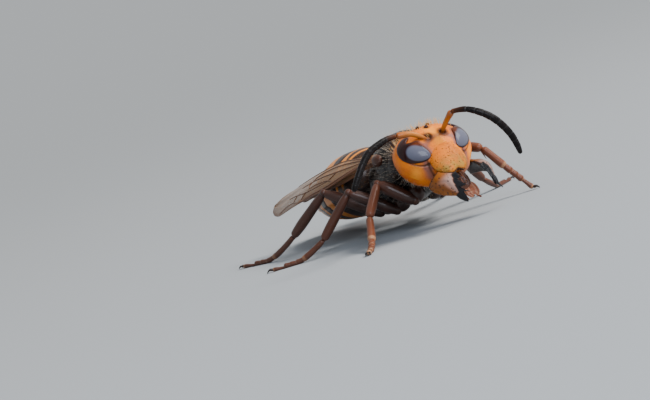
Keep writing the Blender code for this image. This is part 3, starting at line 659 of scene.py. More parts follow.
class Line:
    """Smooth line through points that carries a radius, read by the distance along it."""

    def __init__(self, points: Sequence[Sequence[float]], radii: Sequence[float], fine: int = 14) -> None:
        """Samples a curve through the points.

        Args:
            points: Places in millimetres.
            radii: Radius at each point.
            fine: Samples between two points.
        """
        places = [Vector(point) for point in points]
        last = len(places) - 1
        self.samples: list[tuple[float, Vector, float]] = []
        self.length = 0.0
        for index in range(last):
            around = [places[min(max(index + step, 0), last)] for step in (-1, 0, 1, 2)]
            for step in range(fine + (index == last - 1)):
                share = step / fine
                place = self._curve(*around, share)
                radius = radii[index] + (radii[index + 1] - radii[index]) * ramp(0.0, 1.0, share)
                if self.samples:
                    self.length += (place - self.samples[-1][1]).length
                self.samples.append((self.length, place, radius))

    @staticmethod
    def _curve(before: Vector, first: Vector, second: Vector, after: Vector, share: float) -> Vector:
        """Works out the curve between the middle two of four points.

        Args:
            before: The point before them.
            first: The first of them.
            second: The second of them.
            after: The point after them.
            share: Share of the way.

        Returns:
            The place.
        """
        return 0.5 * (
            2 * first + (second - before) * share + (2 * before - 5 * first + 4 * second - after) * share ** 2
            + (3 * first - before - 3 * second + after) * share ** 3
        )

    def at(self, distance: float) -> tuple[Vector, float]:
        """Looks up the line.

        Args:
            distance: Distance from the start, kept within the line.

        Returns:
            The place and the radius there.
        """
        distance = min(max(distance, 0.0), self.length)
        low, high = 0, len(self.samples) - 1
        while high - low > 1:
            middle = (low + high) // 2
            low, high = (middle, high) if self.samples[middle][0] <= distance else (low, middle)
        start, first, thin = self.samples[low]
        end, second, thick = self.samples[high]
        share = (distance - start) / max(end - start, 1e-9)
        return first.lerp(second, share), thin + (thick - thin) * share

    def ahead(self, distance: float) -> Vector:
        """Direction of travel at a distance."""
        step = self.length * 0.01
        return (self.at(distance + step)[0] - self.at(distance - step)[0]).normalized()


@dataclass
class Rod:
    """Round body of changing thickness along a line, with domed ends."""

    line: Line
    sides: int
    spacing: float
    profile: Callable[[float, float], float] = lambda share, turn: 1.0
    paint: RodPaint = all_over()

    def _stops(self) -> list[float]:
        """Distances of the rings, closer together in the domes.

        Returns:
            The distances in order, from 0 to the line's length.
        """
        length = self.line.length
        count = max(int(length / self.spacing), 4)
        stops = {length * step / count for step in range(count + 1)}
        for end in (0.0, length):
            radius = self.line.at(end)[1]
            stops |= {abs(end - radius * share) for share in (0.04, 0.13, 0.28, 0.5, 0.75)}
        return sorted(stop for stop in stops if 0.0 <= stop <= length)

    def rows(self) -> Rows:
        """Works out the rod's skin.

        Returns:
            Rings of points from end to end, with a pole at each.
        """
        length = self.line.length
        normal = Vector((0.0, 0.0, 1.0))
        made: Rows = []
        for stop in self._stops():
            place, full = self.line.at(stop)
            ahead = self.line.ahead(stop)
            normal = (normal - ahead * normal.dot(ahead)).normalized()
            beside = ahead.cross(normal)
            radius = full
            for left in (stop, length - stop):
                if left < full:
                    radius *= math.sqrt(max(1.0 - (1.0 - left / full) ** 2, 0.0004))
            share = stop / length
            ring = []
            for across, turn in circle(self.sides):
                reach = radius * self.profile(share, turn)
                spot = place + (normal * math.cos(turn) + beside * math.sin(turn)) * reach
                ring.append((spot, {"across": across, "along": share, **self.paint(share, turn, spot)}))
            made.append(ring)
        first, last = (self.line.at(0.0)[0], made[0][0][1]), (self.line.at(length)[0], made[-1][0][1])
        return [[first], *made, [last]]


@dataclass
class EyeForm:
    """Kidney-shaped eye laid on the head capsule, where 1 along it is its top and 1 across its inner rim."""

    tip: Triple = (2.55, -3.1, -2.6)
    top: Triple = (3.5, -1.15, 3.2)
    middle: Triple = (3.95, -1.8, 0.3)
    half_width: float = 1.6
    bulge: float = 0.36
    depth: float = 0.8
    notch: float = 0.62
    notch_at: float = 0.42
    notch_spread: float = 0.2
    bow: float = 0.55

    def axes(self, outward: Vector) -> tuple[Vector, Vector, float]:
        """Directions along and across the eye, and half its length."""
        span = Vector(self.top) - Vector(self.tip)
        along = span.normalized()
        return along, outward.cross(along).normalized(), span.length / 2

    def notch_depth(self, along: float) -> float:
        """Share of the width that the notch takes at a place along the eye."""
        return self.notch * bell(along, self.notch_at, self.notch_spread)

    def rim(self, place: Vector, outward: Vector) -> float:
        """Measures how far a place is from the middle of the eye on its side.

        Args:
            place: A place in the frame of the head.
            outward: Direction that the eye looks in.

        Returns:
            0 at the middle and 1 at the rim.
        """
        length, across, half_length = self.axes(outward)
        reach = Vector((abs(place.x), place.y, place.z)) - Vector(self.middle)
        along = reach.dot(length) / half_length
        wide = (reach.dot(across) - self.bow * along * along) / self.half_width
        if wide > 0:
            wide /= 1.0 - self.notch_depth(along)
        return math.hypot(along, wide)


@dataclass
class HeadForm:
    """Head capsule with its furrows, sockets and face shield, and the eyes and ocelli on it."""

    half_width: float = 6.0
    half_depth: float = 3.35
    crown: float = 4.45
    chin: float = 4.7
    front_roundness: float = 1.0
    back_roundness: float = 0.78
    chin_taper: float = 0.25
    cheek_taper: float = 0.06
    face_narrowing: float = 0.09
    crown_taper: float = 0.12
    nape_flat: float = 2.9
    nape_hollow: float = 0.9
    nape_reach: float = 4.2
    shield_at: Triple = (0.0, -2.68, -2.45)
    shield_half: Triple = (2.75, 0.95, 2.7)
    shield_lobe: float = 0.55
    socket_at: tuple[float, float] = (1.25, 0.95)
    ocelli: tuple[Triple, ...] = ((0.0, -2.6, 3.6), (0.95, -1.7, 4.5), (-0.95, -1.7, 4.5))
    ocellus_radius: float = 0.31
    eye: EyeForm = field(default_factory=EyeForm)

    def __post_init__(self) -> None:
        """Sets the ocelli down on the capsule."""
        self.eye_outward = self.outward(Vector(self.eye.middle))
        self.lens_places = [self.capsule(self.unit_towards(Vector(place))) for place in self.ocelli]

    def capsule(self, unit: Vector) -> Vector:
        """Shapes the plain head, without its furrows.

        Args:
            unit: A point of the unit sphere.

        Returns:
            Its place on the head.
        """
        frontness = ramp(-0.35, 0.6, -unit.y)
        power = self.back_roundness + (self.front_roundness - self.back_roundness) * frontness
        x = self.half_width * signed_power(unit.x, power)
        y = self.half_depth * signed_power(unit.y, power)
        z = (self.crown if unit.z > 0 else self.chin) * signed_power(unit.z, power)
        taper = self.cheek_taper + (self.chin_taper - self.cheek_taper) * ramp(-0.75, 0.3, -unit.y)
        x *= 1.0 - taper * ramp(0.0, self.chin, -z)
        x *= 1.0 - self.face_narrowing * frontness
        y *= 1.0 - self.crown_taper * ramp(1.0, self.crown, z)
        if y > self.nape_flat:
            y = self.nape_flat + 0.25 * (y - self.nape_flat)
        hollow = max(0.0, 1.0 - (x / self.nape_reach) ** 2) * max(0.0, 1.0 - (z / self.nape_reach) ** 2)
        if y > 0:
            y -= self.nape_hollow * hollow * ramp(0.5, 2.0, y)
        return Vector((x, y, z))

    def unit_towards(self, place: Vector) -> Vector:
        """Finds the point of the unit sphere that the capsule sends out towards a place.

        Args:
            place: A place in the frame of the head.

        Returns:
            The point of the unit sphere.
        """
        wanted = place.normalized()
        unit = wanted.copy()
        for _ in range(16):
            unit = (unit + (wanted - self.capsule(unit).normalized()) * 0.7).normalized()
        return unit

    def outward(self, place: Vector) -> Vector:
        """Direction that leads straight off the capsule at a place."""
        halves = (self.half_width, self.half_depth, self.crown)
        return Vector([part / half ** 2 for part, half in zip(place, halves)]).normalized()

    def eye_rim(self, place: Vector) -> float:
        """How far a place is from the middle of the nearer eye, 1 at its rim."""
        return 9.0 if place.y > 1.8 else self.eye.rim(place, self.eye_outward)

    def _socket_reach(self, place: Vector) -> float:
        """How far a place is from the middle of the nearer antenna socket."""
        return math.hypot(abs(place.x) - self.socket_at[0], place.z - self.socket_at[1])

    def _face_relief(self, place: Vector) -> float:
        """Works out the socket rims, the middle furrow and the swellings of the face.

        Args:
            place: A place in the frame of the head.

        Returns:
            Their height there.
        """
        socket = self._socket_reach(place)
        height = 0.10 * bell(socket, 0.62, 0.16) - 0.26 * math.exp(-((socket / 0.4) ** 4))
        height -= 0.07 * bell(place.x, 0.0, 0.13) * ramp(1.4, 1.9, place.z)
        height += 0.16 * bell(place.x, 0.0, 0.7) * bell(place.z, 0.4, 0.9)
        height += 0.10 * bell(abs(place.x), 1.9, 0.9) * bell(place.z, 2.2, 0.9)
        return height

    def _shield_reach(self, place: Vector) -> float:
        """How far a place is from the middle of the face shield, 1 at its edge."""
        return math.hypot(place.x / 2.8, (place.z - self.shield_at[2]) / 2.75)

    def head_spot(self, unit: Vector) -> Spot:
        """Rule of the head's skin.

        Args:
            unit: A point of the unit sphere.

        Returns:
            Its place and paint.
        """
        place = self.capsule(unit)
        wide = abs(place.x)
        front = ramp(-0.4, 0.6, -place.y)
        rim, seam, socket = self.eye_rim(place), self._shield_reach(place), self._socket_reach(place)
        lower = ramp(-0.9, -2.6, place.z)
        height = front * self._face_relief(place) + 0.03 * grain(place, 0.8) + 0.012 * grain(place, 2.6)
        height -= 0.12 * bell(rim, 0.97, 0.05)
        height += 0.03 * bell(rim, 1.08, 0.06)
        height -= 0.08 * front * bell(seam, 1.06, 0.05) * lower
        lens = min((place - spot).length for spot in self.lens_places)
        neck = 1.0 - ramp(1.6, 3.4, math.hypot(place.x, place.z * 1.1)) if place.y >= 1.6 else 0.0
        # Dark round the eyes, painted shade in and round the sockets, dark along the shield, painted shade
        # behind the cheeks, dark round the ocelli, on the chin, at the neck and above the cheeks.
        dusk = (
            0.95 * bell(rim, 0.97, 0.06)
            + 1.0 * front * (1.0 - ramp(0.45, 1.25, socket))
            + 0.85 * front * bell(seam, 1.04, 0.05) * (0.15 + 0.85 * lower)
            + 0.28 * ramp(-0.8, 1.2, place.y) * ramp(1.5, -0.5, place.z)
            + 0.7 * (1.0 - ramp(0.35, 0.75, lens))
            + 0.5 * ramp(-3.9, -4.6, place.z)
            + 0.55 * neck
            + 0.3 * bell(place.z, 1.7, 0.8) * bell(wide, 2.9, 0.6) * front
        )
        # Painted reflection: a mauve tint on the face beside the lower edges of the shield and along the
        # inner rims of the eyes.
        bloom = front * bell(seam, 1.14, 0.16) * ramp(1.8, -0.4, place.z)
        bloom += 1.0 * front * bell(rim, 1.1, 0.13) * ramp(4.0, 2.9, wide)
        crown = ramp(2.2, 3.6, place.z)
        golden = 0.7 * ramp(0.4, 1.0, front) * ramp(1.4, 0.0, wide) * (1.0 - crown * 0.5)
        # Painted highlight: a warm golden patch on the lower front of each cheek.
        golden += 0.9 * bell(wide, 4.6, 0.7) * bell(place.z, -2.5, 0.8) * (place.y < 0.5)
        under = ramp(0.6, 2.0, place.y) * ramp(2.0, -1.5, place.z)
        return place + self.outward(place) * height, {
            "dusk": min(dusk, 1.0), "band": min(golden, 1.0), "bloom": min(bloom, 1.0),
            "fur": (0.9 * crown + 0.3 * front * ramp(0.5, 2.0, place.z)) * (rim > 1.1),
            "beard": under * (rim > 1.3),
        }

    def shield_spot(self, unit: Vector) -> Spot:
        """Rule of the face shield, with its two lobes below.

        Args:
            unit: A point of the unit sphere.

        Returns:
            Its place and paint.
        """
        low = ramp(-0.1, 0.9, -unit.z)
        narrow = 0.82 + 0.18 * ramp(-0.9, 0.5, -unit.z)
        x = self.shield_half[0] * narrow * signed_power(unit.x, 0.8)
        z = self.shield_half[2] * signed_power(unit.z, 0.85)
        lobe = self.shield_lobe * bell(abs(x), 1.0, 0.95) * low
        place = Vector(self.shield_at) + Vector((x, self.shield_half[1] * unit.y + 0.09 * x * x, z - lobe))
        place.y += 0.02 * grain(place, 1.4, 3.0) + 0.3 * ramp(0.15, 1.0, unit.z)
        edge = ramp(0.86, 0.97, -unit.z) * ramp(-0.2, 0.5, -unit.y)
        furry = ramp(-0.15, 0.75, -unit.z) * (1.0 - edge)
        return place, {
            "dusk": 0.95 * ramp(0.88, 0.97, -unit.z),
            "bloom": min(max(furry * (0.7 + 0.7 * grain(place, 1.6, 8.0)), 0.0), 1.0),
            "band": 0.6 * ramp(0.2, 1.0, unit.z),
            "fur": (0.12 + furry) * (unit.y < 0.0),
        }

    def eye_spot(self, side: Side) -> BallRule:
        """Makes the rule of one eye.

        Args:
            side: Which eye.

        Returns:
            The rule.
        """
        eye = self.eye
        length, across, half_length = eye.axes(self.eye_outward)

        def rule(unit: Vector) -> Spot:
            """Shapes the eye.

            Args:
                unit: A point of the unit sphere.

            Returns:
                Its place and paint.
            """
            wide = unit.x * (1.0 - eye.notch_depth(unit.z) * (unit.x > 0))
            reach = eye.half_width * wide + eye.bow * unit.z * unit.z
            base = self.capsule(self.unit_towards(
                Vector(eye.middle) + length * (half_length * unit.z) + across * reach))
            height = eye.bulge if unit.y > 0 else eye.depth
            place = side.of(base + self.outward(base) * (height * signed_power(unit.y, 0.85)))
            inner = ramp(0.25, 0.75, wide) * ramp(-0.3, 0.0, unit.z)
            # Painted reflection of the sky: a pale oval on the eye's outer face towards its lower front end,
            # a little dimmer lower down.
            reflection_reach = math.hypot((wide - 0.15) / 0.72, (unit.z + 0.42) / 0.56)
            return place, {
                "band": 0.7 * inner * ramp(0.85, 0.35, unit.z),
                "bloom": ramp(1.06, 0.86, reflection_reach) * (unit.y > 0.0) * (0.75 + 0.25 * unit.z),
            }
        return rule

    def dress(self, workshop: Workshop) -> Skins:
        """Builds the head's pieces.

        Args:
            workshop: Where pieces are made.

        Returns:
            The pieces that carry hair, by name.
        """
        frame = STANCE.head
        skin = Shape().add_ball(self.head_spot, 200, 130)
        shield = Shape().add_ball(self.shield_spot, 110, 76)
        made = {
            "head": workshop.form("head_skin", skin, frame, "head", "head"),
            "shield": workshop.form("clypeus", shield, frame, "clypeus"),
        }
        for side in Side:
            eye = Shape().add_ball(self.eye_spot(side), 72, 60)
            workshop.form(f"eye_{side.word}_facets", eye, frame, "lens", f"eye_{side.word}")
        lenses = Shape()
        for centre in self.lens_places:
            lenses.add_ball(lambda unit: (centre + unit * self.ocellus_radius, {}), 24, 16)
        workshop.form("ocelli", lenses, frame, "lens")
        return made


@dataclass
class JawForm:
    """Mandible as a curved blade with blunt teeth and a hook, by the corners of the closed right one."""

    front_hinge: Triple = (-2.75, -2.45, -4.45)
    rear_hinge: Triple = (-3.35, 0.75, -4.75)
    inner_corner: Triple = (-0.25, -2.9, -5.75)
    tip: Triple = (-0.65, -0.9, -8.5)
    hook: Triple = (0.4, 0.35, -1.0)
    ahead: Triple = (0.35, 0.0, -1.0)
    rear_bow: Triple = (-0.75, 0.25, -0.35)
    tooth_aim: Triple = (0.894, 0.0, -0.447)
    thickness: float = 1.15
    edge_thickness: float = 0.75
    swell: float = 0.75
    bow: float = 0.65
    arch: float = 0.8
    corner_share: float = 0.42
    hook_from: float = 0.86
    full_reach: float = 1.24
    teeth: tuple[tuple[float, float], ...] = ((0.2, 0.45), (0.52, 1.0), (0.84, 1.15))
    tooth_rise: float = 0.2
    tooth_fall: float = 0.08
    opening: float = math.radians(52.0)
    around: int = 64
    rings: int = 150

    def frame(self, side: Side) -> Matrix:
        """Finds where a mandible is; the left one is the mirrored right one, turned open.

        Args:
            side: Which mandible.

        Returns:
            Its frame.
        """
        if side is Side.RIGHT:
            return STANCE.head
        mirror = Matrix.Scale(-1.0, 4, Vector((1.0, 0.0, 0.0)))
        hinge = mirror @ Vector(self.front_hinge)
        turn = Matrix.Rotation(-self.opening, 4, mirror @ Vector(self.rear_hinge) - hinge)
        return STANCE.head @ Matrix.Translation(hinge) @ turn @ Matrix.Translation(-hinge) @ mirror

    def outward(self, front: Vector, rear: Vector) -> Vector:
        """Direction that the outer face looks in, between the two edges."""
        out = (rear - front).cross(Vector(self.ahead)).normalized()
        return -out if out.x > 0 else out

    def edges(self, share: float) -> tuple[Vector, Vector]:
        """Finds both edges of the blade, the hook's beyond hook_from.

        Args:
            share: Share of the length, up to full_reach at the end of the hook.

        Returns:
            Places on the toothed edge and on the rear edge.
        """
        tip = Vector(self.tip)
        if share > self.hook_from:
            front, rear = self.edges(self.hook_from)
            late = (share - self.hook_from) / (self.full_reach - self.hook_from)
            middle = (front + rear) * (0.5 * (1.0 - late) ** 2) + tip * (2.0 * late * (1.0 - late))
            middle += (tip + Vector(self.hook)) * late ** 2
            half = (rear - front) * (0.5 + 0.10 * math.sin(math.pi * late) - 0.43 * late ** 2)
            return middle - half, middle + half
        corner = Vector(self.inner_corner)
        if share < self.corner_share:
            front = Vector(self.front_hinge).lerp(corner, share / self.corner_share)
        else:
            front = corner.lerp(tip, (share - self.corner_share) / (1.0 - self.corner_share))
        bowed = math.sin(math.pi * share)
        rear = Vector(self.rear_hinge).lerp(tip, share) + Vector(self.rear_bow) * (self.bow * bowed)
        lift = self.outward(front, rear) * (self.arch * bowed)
        return front + lift, rear + lift

    def tooth(self, share: float) -> float:
        """Works out how far the teeth stand out of the edge.

        Args:
            share: Share of the length.

        Returns:
            Their height there.
        """
        at = (share - self.corner_share) / (1.0 - self.corner_share)
        reach = 0.0
        for middle, height in self.teeth:
            off = middle - at
            off /= self.tooth_rise if off > 0 else -self.tooth_fall
            reach = max(reach, height * max(0.0, 1.0 - off))
        return reach

    def _paint(self, share: float, wide: float, high: float) -> Paint:
        """Paints the base honey, a grey painted sheen on the middle, and the teeth, hook and inner face
        black.

        Args:
            share: Share of the length.
            wide: -1 at the toothed edge, 1 at the rear one.
            high: 1 on the outer face, -1 on the inner one.

        Returns:
            The painted values.
        """
        margin = 0.48 + 0.3 * ramp(0.5, 0.0, high)
        border = self.hook_from + 0.02 - margin * ramp(0.4, 0.75, -wide)
        black = ramp(border - 0.05, border + 0.02, share)
        black = max(black, 0.95 * ramp(-0.05, -0.4, high), 0.9 * ramp(0.05, 0.0, share))
        # Painted sheen: a grey-pink glare over the toothed half of the blade, short of the black.
        grey = ramp(0.3, -0.35, wide) * ramp(0.15, 0.45, share)
        return {
            "dusk": min(black, 1.0), "bloom": 0.9 * grey * (1.0 - black),
            "band": 0.8 * ramp(0.2, 0.9, wide) + 0.4 * ramp(0.4, 0.1, share),
        }

    def ring(self, share: float) -> list[Spot]:
        """Works out one section of the blade.

        Args:
            share: Share of the length.

        Returns:
            Its points, from the rear edge round.
        """
        front, rear = self.edges(share)
        middle, across = (front + rear) / 2, (rear - front) / 2
        plain = min(share, self.hook_from)
        outward = self.outward(*self.edges(plain))
        late = ramp(self.hook_from, self.full_reach, share)
        thick = self.thickness * (1 - 0.45 * plain) * (1.0 - 0.8 * late)
        thick *= 1.0 + 0.5 * bell(share, 0.98, 0.12)
        rim = self.edge_thickness * (1.0 - 0.8 * late)
        made = []
        for across_share, turn in circle(self.around):
            wide, high = math.cos(turn), math.sin(turn)
            edge = rim + (thick - rim) * (1 - wide * wide)
            swell = self.swell * (1 - wide * wide) * math.sin(math.pi * min(share + 0.15, 1.0))
            furrow = bell(wide, -0.15, 0.13) * ramp(0.12, 0.4, share)
            swell -= 0.10 * furrow * (high > 0) * (1.0 - late)
            place = middle + across * wide + outward * (0.5 * edge * signed_power(high, 0.7) + swell)
            place += Vector(self.tooth_aim) * (self.tooth(share) * ramp(0.45, 1.0, -wide))
            place += outward * (0.025 * grain(place, 1.6, 5.0))
            paint = {"across": across_share, "along": share / self.full_reach}
            made.append((place, paint | self._paint(share, wide, high)))
        return made

    def dress(self, workshop: Workshop) -> Skins:
        """Builds both mandibles.

        Args:
            workshop: Where pieces are made.

        Returns:
            The pieces that carry hair, by name: none.
        """
        rows = [self.ring(self.full_reach * row / self.rings) for row in range(self.rings + 1)]
        blade = Shape().add_capped(rows)
        for side in Side:
            node = f"mandible_{side.word}"
            workshop.form(f"{node}_blade", blade, self.frame(side), "jaw", node)
        return {}


@dataclass
class MouthForm:
    """Tongue, maxillae and palps between the mandibles."""

    body_at: Triple = (1.15, 0.25, -5.55)
    body_half: Triple = (1.2, 1.0, 1.65)
    tongue_at: Triple = (1.75, 0.35, -7.4)
    tongue_half: Triple = (1.15, 0.42, 1.4)
    palp_root: Triple = (1.15, 0.85, -6.3)
    palps: tuple[tuple[float, float], ...] = ((-0.7, 2.1), (0.75, 2.4), (1.5, 3.0), (-0.2, 2.6))
    palp_joints: tuple[float, ...] = (0.22, 0.45, 0.68, 0.86)

    @staticmethod
    def _lobe(at: Triple, half: Triple, cleft: float, folds: int, dark: float) -> BallRule:
        """Makes the rule of a soft lobe.

        Args:
            at: Its middle.
            half: Half its size.
            cleft: Depth of the cleft in its end.
            folds: Folds along its length.
            dark: 1 for dark flesh, 0 for pale.

        Returns:
            The rule.
        """
        def rule(unit: Vector) -> Spot:
            """Shapes the lobe.

            Args:
                unit: A point of the unit sphere.

            Returns:
                Its place and paint.
            """
            fold = 0.5 + 0.5 * math.sin(folds * math.atan2(unit.y, unit.x) + 2.0 * noise.noise(unit * 2.5))
            groove = (1.0 - fold) * ramp(1.0, 0.7, abs(unit.z))
            scale = 0.99 - 0.10 * groove
            place = Vector([at[i] + half[i] * scale * signed_power(unit[i], 0.9) for i in range(3)])
            place.z += cleft * bell(unit.x, 0.0, 0.22) * ramp(0.4, 1.0, -unit.z)
            place.y += 0.03 * math.sin(place.z * 13.0) * ramp(0.0, 0.6, -unit.y)
            # Painted shade makes the grooves between the folds darker, and a painted highlight makes the fold
            # tops paler.
            return place, {"dusk": min(dark * (0.75 + 0.4 * groove), 1.0), "band": 0.85 * fold * (1.0 - dark),
                           "bloom": 0.35 * dark * fold, "fur": 0.3 + 0.5 * dark}
        return rule

    def dress(self, workshop: Workshop) -> Skins:
        """Builds the mouthparts as one piece.

        Args:
            workshop: Where pieces are made.

        Returns:
            The pieces that carry hair, by name.
        """
        shape = Shape().add_ball(self._lobe(self.body_at, self.body_half, 0.0, 16, 0.85), 128, 56)
        shape.add_ball(self._lobe(self.tongue_at, self.tongue_half, 0.5, 9, 0.0), 96, 48)
        for lean, reach in self.palps:
            root = Vector(self.palp_root) + Vector((0.6 * lean, 0.0, 0.0))
            middle = root + Vector((0.35 * lean, 0.45, -0.5 * reach))
            end = middle + Vector((0.2 * lean, -0.25, -0.3 * reach))
            shape.add_rod(
                (root, middle, end), (0.22, 0.18, 0.13), 16, 0.08,
                profile=lambda share, turn: 1.0 - 0.3 * max(bell(share, at, 0.02) for at in self.palp_joints),
                paint=lambda share, turn, place: {"dusk": 0.85 - 0.35 * share},
            )
        return {"mouth": workshop.form("mouthparts_skin", shape, STANCE.head, "flesh", "mouthparts")}


@dataclass
class FeelerForm:
    """Antenna: scape, pedicel and ten ringed joints."""

    scapes: dict[Side, tuple[Triple, ...]] = field(default_factory=lambda: {
        Side.LEFT: ((1.25, -2.85, 1.0), (1.7, -4.6, 1.35), (2.08, -6.95, 1.3)),
        Side.RIGHT: ((-1.3, -2.85, 0.8), (-3.3, -3.55, 2.05), (-5.5, -3.3, 2.75)),
    })
    flagella: dict[Side, tuple[Triple, ...]] = field(default_factory=lambda: {
        Side.LEFT: ((2.08, -6.95, 1.3), (3.5, -8.05, 0.2), (5.0, -8.35, -1.3), (6.2, -8.15, -2.7),
                    (7.2, -7.5, -4.05), (8.05, -6.5, -5.3), (8.7, -5.2, -6.4), (9.1, -4.0, -7.25)),
        Side.RIGHT: ((-5.5, -3.3, 2.75), (-6.8, -3.4, 2.75), (-8.15, -3.45, 2.45), (-10.25, -3.35, 1.8),
                     (-11.9, -2.8, 0.7), (-13.2, -1.9, -0.5), (-14.0, -1.25, -1.3), (-14.5, -0.7, -1.75)),
    })
    scape_radii: tuple[float, ...] = (0.30, 0.26, 0.38, 0.50)
    pedicel_radii: tuple[float, float] = (0.34, 0.4)
    flagellum_radii: tuple[float, ...] = (0.33, 0.42, 0.5, 0.53, 0.52, 0.5, 0.45, 0.30)
    joints: int = 10
    first_joint: float = 0.17

    def _joint(self, share: float) -> tuple[int, float]:
        """Finds the joint at a place of the flagellum.

        Args:
            share: Share of the flagellum's length.

        Returns:
            The joint's number and the share of its own length.
        """
        if share < self.first_joint:
            return 0, share / self.first_joint
        rest = (share - self.first_joint) / (1.0 - self.first_joint) * (self.joints - 1)
        number = min(int(rest), self.joints - 2)
        return number + 1, rest - number

    def _ringed(self, share: float, turn: float) -> float:
        """Shapes a joint, pinched where it meets the next and swollen below its end.

        Args:
            share: Share of the flagellum's length.
            turn: Angle round it, not used.

        Returns:
            Its thickness, as a share of the full one.
        """
        within = self._joint(share)[1]
        pinch = ramp(1.0, 0.93, within) if within > 0.93 else ramp(0.0, 0.12, within)
        return 0.88 + 0.10 * pinch + 0.04 * within

    def _ring_paint(self, share: float, turn: float, place: Vector) -> Paint:
        """Paints the first joint brown and the rims paler, as a painted sheen.

        Args:
            share: Share of the flagellum's length.
            turn: Angle round it, not used.
            place: The point, not used.

        Returns:
            The painted values.
        """
        number, within = self._joint(share)
        return {
            "band": 0.5 * (number == 0) * (1.0 - within),
            # Painted sheen: a pale grey rim at the end of each joint.
            "bloom": 0.6 * ramp(0.84, 0.95, within),
            "dusk": 1.0 - ramp(0.0, 0.12, within),
        }

    def dress(self, workshop: Workshop) -> Skins:
        """Builds both antennae.

        Args:
            workshop: Where pieces are made.

        Returns:
            The pieces that carry hair, by name.
        """
        made = {}
        for side in Side:
            name = f"antenna_{side.word}"
            root, middle, end = (Vector(point) for point in self.scapes[side])
            scape = Shape().add_rod(
                (root - (middle - root).normalized() * 0.35, root, middle, end), self.scape_radii, 28, 0.1,
                profile=lambda share, turn: (
                    1.0 + 0.35 * bell(share, 0.045, 0.03) - 0.25 * bell(share, 0.12, 0.03)),
                paint=lambda share, turn, place: {
                    "dusk": 0.6 * ramp(0.16, 0.06, share) + 0.5 * ramp(0.93, 1.0, share),
                    "band": 0.7 * bell(share, 0.5, 0.3), "fur": 0.5,
                },
            )
            skin = f"{name}_scape_skin"
            made[skin] = workshop.form(skin, scape, STANCE.head, "scape", f"{name}_scape")
            second = Vector(self.flagella[side][1])
            pedicel = (end.lerp(second, -0.06), end.lerp(second, 0.3))
            whip = Shape().add_rod(pedicel, self.pedicel_radii, 24, 0.08, paint=all_over(band=0.8))
            whip.add_rod(self.flagella[side], self.flagellum_radii, 28, 0.055,
                         profile=self._ringed, paint=self._ring_paint)
            nodes = (f"{name}_base", f"{name}_tip")
            workshop.form(f"{name}_flagellum_skin", whip, STANCE.head, "feeler", *nodes)
        return made


